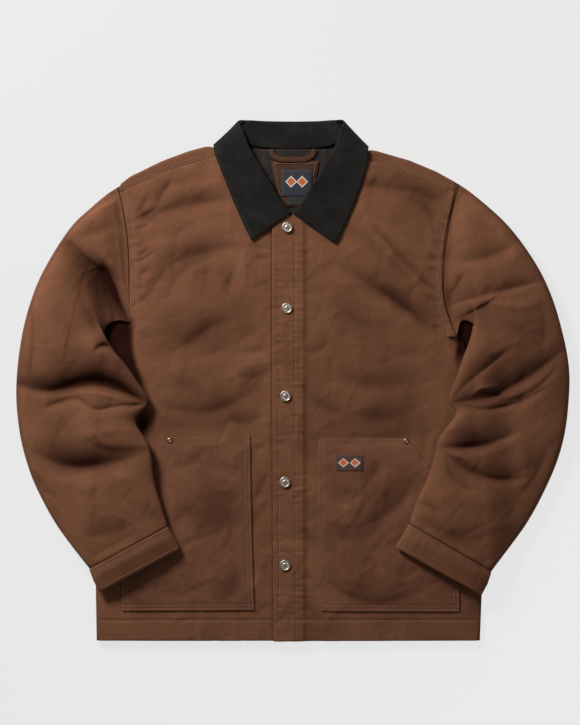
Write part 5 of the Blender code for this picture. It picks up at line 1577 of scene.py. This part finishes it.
# %% Thread along a line
def stitches(name, lines, finish, pitch=3.3, length=2.6, radius=0.5):
    """Lines are (points, normals) in millimetres. Every pitch along each line gets one rounded float of thread."""
    around, belts = 5, [(-0.36, 0.75), (0.0, 1.0), (0.36, 0.75)]
    ring = np.linspace(0, 2 * np.pi, around, endpoint=False)
    local = [(a * length, r * radius * np.cos(k), r * radius * np.sin(k)) for a, r in belts for k in ring]
    local = np.array(local + [(-0.5 * length, 0, 0), (0.5 * length, 0, 0)])
    tip, each = around * len(belts), around * len(belts) + 2
    index = np.arange(tip).reshape(len(belts), around)
    beside = np.roll(index, -1, axis=1)
    body = np.stack([index[:-1], index[1:], beside[1:], beside[:-1]], -1).reshape(-1, 4)
    start = np.stack([index[0], beside[0], np.full(around, tip), np.full(around, tip)], -1)
    end = np.stack([beside[-1], index[-1], np.full(around, tip + 1), np.full(around, tip + 1)], -1)
    template = np.concatenate([body, start, end])
    points, faces, count = [], [], 0
    for line, normal in lines:
        reach = arc_length(line)
        at = np.arange(pitch / 2, reach[-1], pitch)
        up = unit(read_off(normal, reach, at))
        run = unit(read_off(line, reach, at + 0.5) - read_off(line, reach, at - 0.5))
        side = unit(np.cross(up, run))
        spot = read_off(line, reach, at) + up * 0.3
        moved = spot[:, None] + local[:, 0:1] * run[:, None]
        moved = moved + local[:, 1:2] * side[:, None] + local[:, 2:3] * up[:, None]
        points.append(moved.reshape(-1, 3))
        faces.append((template[None] + (each * (count + np.arange(len(at))))[:, None, None]).reshape(-1, 4))
        count += len(at)
    piece = mesh_object(name, np.concatenate(points), np.concatenate(faces), finish)
    print(name, count, "stitches")
    return piece


def on_height(xy, height):
    """Points of a flat line lifted on to a height, with the normal that steps of 1 mm give."""
    x, y = xy[:, 0], xy[:, 1]
    z = height(x, y)
    slope_x = height(x + 1.0, y) - height(x - 1.0, y)
    slope_y = height(x, y + 1.0) - height(x, y - 1.0)
    return np.stack([x, y, z], -1), unit(np.stack([-slope_x / 2, -slope_y / 2, np.ones_like(z)], -1))


def finely(line, step=1.5):
    """A line cut again at even steps."""
    reach = arc_length(line)
    at = np.linspace(0, reach[-1], max(int(reach[-1] / step), 4))
    return read_off(line, reach, at)


LAP_X = -29.5


def body_top(x, y):
    """Outside of the front that shows on this side of the lap."""
    return np.where(x > LAP_X, placket_height(x, y, FOLDS, SEAMS_BODY), front_height(x, y, FOLDS, SEAMS_BODY))


def on_tube(surface, s, t):
    """Points of a line on a tube, with the outward normal that small steps give."""
    s, t = np.broadcast_arrays(np.asarray(s, float), np.asarray(t, float))
    n = stepped_normal(surface, s, t, 2e-3, (0, 1))
    return surface(s, t), n * np.sign(n[..., 2:3].sum())


# %% Make the stitches
hem_lines = [on_height(finely(line), body_top) for name, line in SEWN.items() if name.startswith("hem")]
body_lines = [on_height(finely(line), body_top) for name, line in SEWN.items() if not name.startswith("hem")]
stitch_body = stitches("stitches_body", body_lines, thread_brown)
strap_lines = []
for seam, sign in ((FORWARD_SEAM_LEFT, 1.0), (FORWARD_SEAM_RIGHT, -1.0)):
    for by in (2.6, 6.2):
        line = finely(offset(along(place(seam), dense), by * sign))
        level = 2 * ROLL_RADIUS + neck_lift(line[:, 0], line[:, 1])
        strap_lines.append((np.column_stack([line, level]), np.tile([0.0, 0.0, 1.0], (len(line), 1))))
stitch_straps = stitches("stitches_shoulders", strap_lines, thread_brown)
stitch_hem = stitches("stitches_hem", hem_lines, thread_brown)


def pocket_thread(rows, under, lines, seams):
    """The pocket's lines lifted on to its outside."""
    return [on_height(finely(line), lambda x, y: pocket_top(rows, under, x, y, seams)) for line in lines]


pocket_lines_all = pocket_thread(POCKET_LEFT, front_height, lines_right, seams_right)
pocket_lines_all += pocket_thread(POCKET_RIGHT, placket_height, lines_left, seams_left)
stitch_pockets = stitches("stitches_pockets", pocket_lines_all, thread_brown)
cuff_lines = []
for side in ("right", "left"):
    for t in (0.07, 0.16, 0.9):
        cuff_lines.append(on_tube(cuffs[side][0], np.linspace(0.03, 0.47, 160), t))
stitch_cuffs = stitches("stitches_cuffs", cuff_lines, thread_brown)
collar_lines = []
for low, high in ((0.004, 0.235), (0.765, 0.996)):
    collar_lines.append(on_tube(collar_leaf, np.linspace(low, high, 200), 0.955))
stitch_collar = stitches("stitches_collar", collar_lines, thread_black, radius=0.36)
facing_rows = [[(274.6, 162.5), (282.0, 203.5)], [(316.0, 162.5), (313.2, 176.0)], [(274.8, 163.4), (316.0, 163.4)]]
facing_lines = [on_height(finely(place(rows)), on_patch) for rows in facing_rows]
stitch_facing = stitches("stitches_facing", facing_lines, thread_brown)

# %% [markdown]
# Every sheet of cloth is passed to one function, which reads its UV map and the areas of its faces and does nothing
# more with them.


def declare(piece):
    """Reads the UV map and the area of each face of the mesh into arrays; nothing is done with them."""
    mesh = piece.data
    uv = np.empty(len(mesh.loops) * 2, np.float32)
    mesh.uv_layers[0].data.foreach_get("uv", uv)
    areas = np.empty(len(mesh.polygons), np.float32)
    mesh.polygons.foreach_get("area", areas)


declare(back)
declare(front_right)
declare(front_left)
declare(pocket_right)
declare(pocket_left)
declare(sleeves["right"][1])
declare(sleeves["right"][2])
declare(sleeves["left"][1])
declare(sleeves["left"][2])
declare(cuffs["right"][1])
declare(cuffs["left"][1])
declare(leaf)
declare(stand)
declare(lining)
declare(facing)
declare(neck_label)
declare(size_tag)
declare(pocket_label)
declare(loop)

# %% [markdown]
# ## Table, light and camera
# The jacket was photographed from straight above on a pale, evenly lit table. The table here glows a little,
# like opal glass over a light box, which keeps it even and its shadows faint. The strong light is a soft box
# beyond the wearer's right shoulder: it rakes over the cloth, so that every fold has a bright and a dark side.

# %% Stage
opal = {"Base_Color": linear("#565655"), "Emission_Color": linear("#ffffff")}
table_material, tree, shader = new_material("opal_table", Roughness=0.9, Specular_IOR_Level=0.0, **opal)
# Painted light: the table glows more towards the lower right, where the key lamp gives less light, so that it looks
# even.
spot = node(tree, "SeparateXYZ", {"Vector": node(tree, "TexCoord").outputs["Object"]})
slant = maths(tree, "SUBTRACT", spot.outputs["X"], spot.outputs["Y"])
ends = {"From Min": -1.5, "From Max": 1.5, "To Min": 0.65, "To Max": 0.8}
glow = node(tree, "MapRange", {"Value": slant}, ends)
tree.links.new(glow.outputs[0], shader.inputs["Emission Strength"])
floor_mesh = bpy.data.meshes.new("floor")
corners = [(x * 30, y * 30, -0.0004) for x, y in ((-1, -1), (1, -1), (1, 1), (-1, 1))]
floor_mesh.from_pydata(corners, [], [(0, 1, 2, 3)])
floor_mesh.materials.append(table_material)
floor = bpy.data.objects.new("table_top", floor_mesh)
bpy.context.scene.collection.objects.link(floor)


def area_light(name, at, size, power, colour, aim=(0.0, 0.0, 0.0)):
    """A rectangular lamp that faces a point of the jacket."""
    lamp = bpy.data.lights.new(name, "AREA")
    lamp.shape = "RECTANGLE"
    lamp.size, lamp.size_y = size
    lamp.energy = power
    lamp.color = linear(colour)[:3]
    obj = bpy.data.objects.new(name, lamp)
    obj.location = at
    x, y, z = unit(np.array(aim) - np.array(at))
    obj.rotation_euler = (math.acos(-z), 0.0, math.atan2(y, x) - math.pi / 2)
    bpy.context.scene.collection.objects.link(obj)
    return obj


area_light("key", (-1.12, 1.4, 1.18), (0.55, 0.55), 62.0, "#ffffff", (0.05, -0.05, 0.0))
world = bpy.data.worlds.new("studio")
world.use_nodes = True
world.node_tree.nodes["Background"].inputs["Color"].default_value = (1.0, 1.0, 1.0, 1.0)
world.node_tree.nodes["Background"].inputs["Strength"].default_value = 0.2
bpy.context.scene.world = world
bpy.context.scene.view_settings.view_transform = "Standard"

# %% Camera
HEIGHT = 3.2
frame_height = 725 * SQUARE * MM
lens = bpy.data.cameras.new("camera")
lens.sensor_fit = "VERTICAL"
lens.sensor_height = 36.0
lens.lens = 36.0 * (HEIGHT - 0.012) / frame_height
camera = bpy.data.objects.new("camera", lens)
camera.location = ((290.0 - CENTRE[0]) * SQUARE * MM, (CENTRE[1] - 362.5) * SQUARE * MM, HEIGHT)
bpy.context.scene.collection.objects.link(camera)
bpy.context.scene.camera = camera
print("camera lens:", round(lens.lens, 1), "mm")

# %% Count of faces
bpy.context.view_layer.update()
faces = sum(len(p.data.polygons) for p in made_pieces.values())
print("pieces:", len(made_pieces), "faces:", faces)
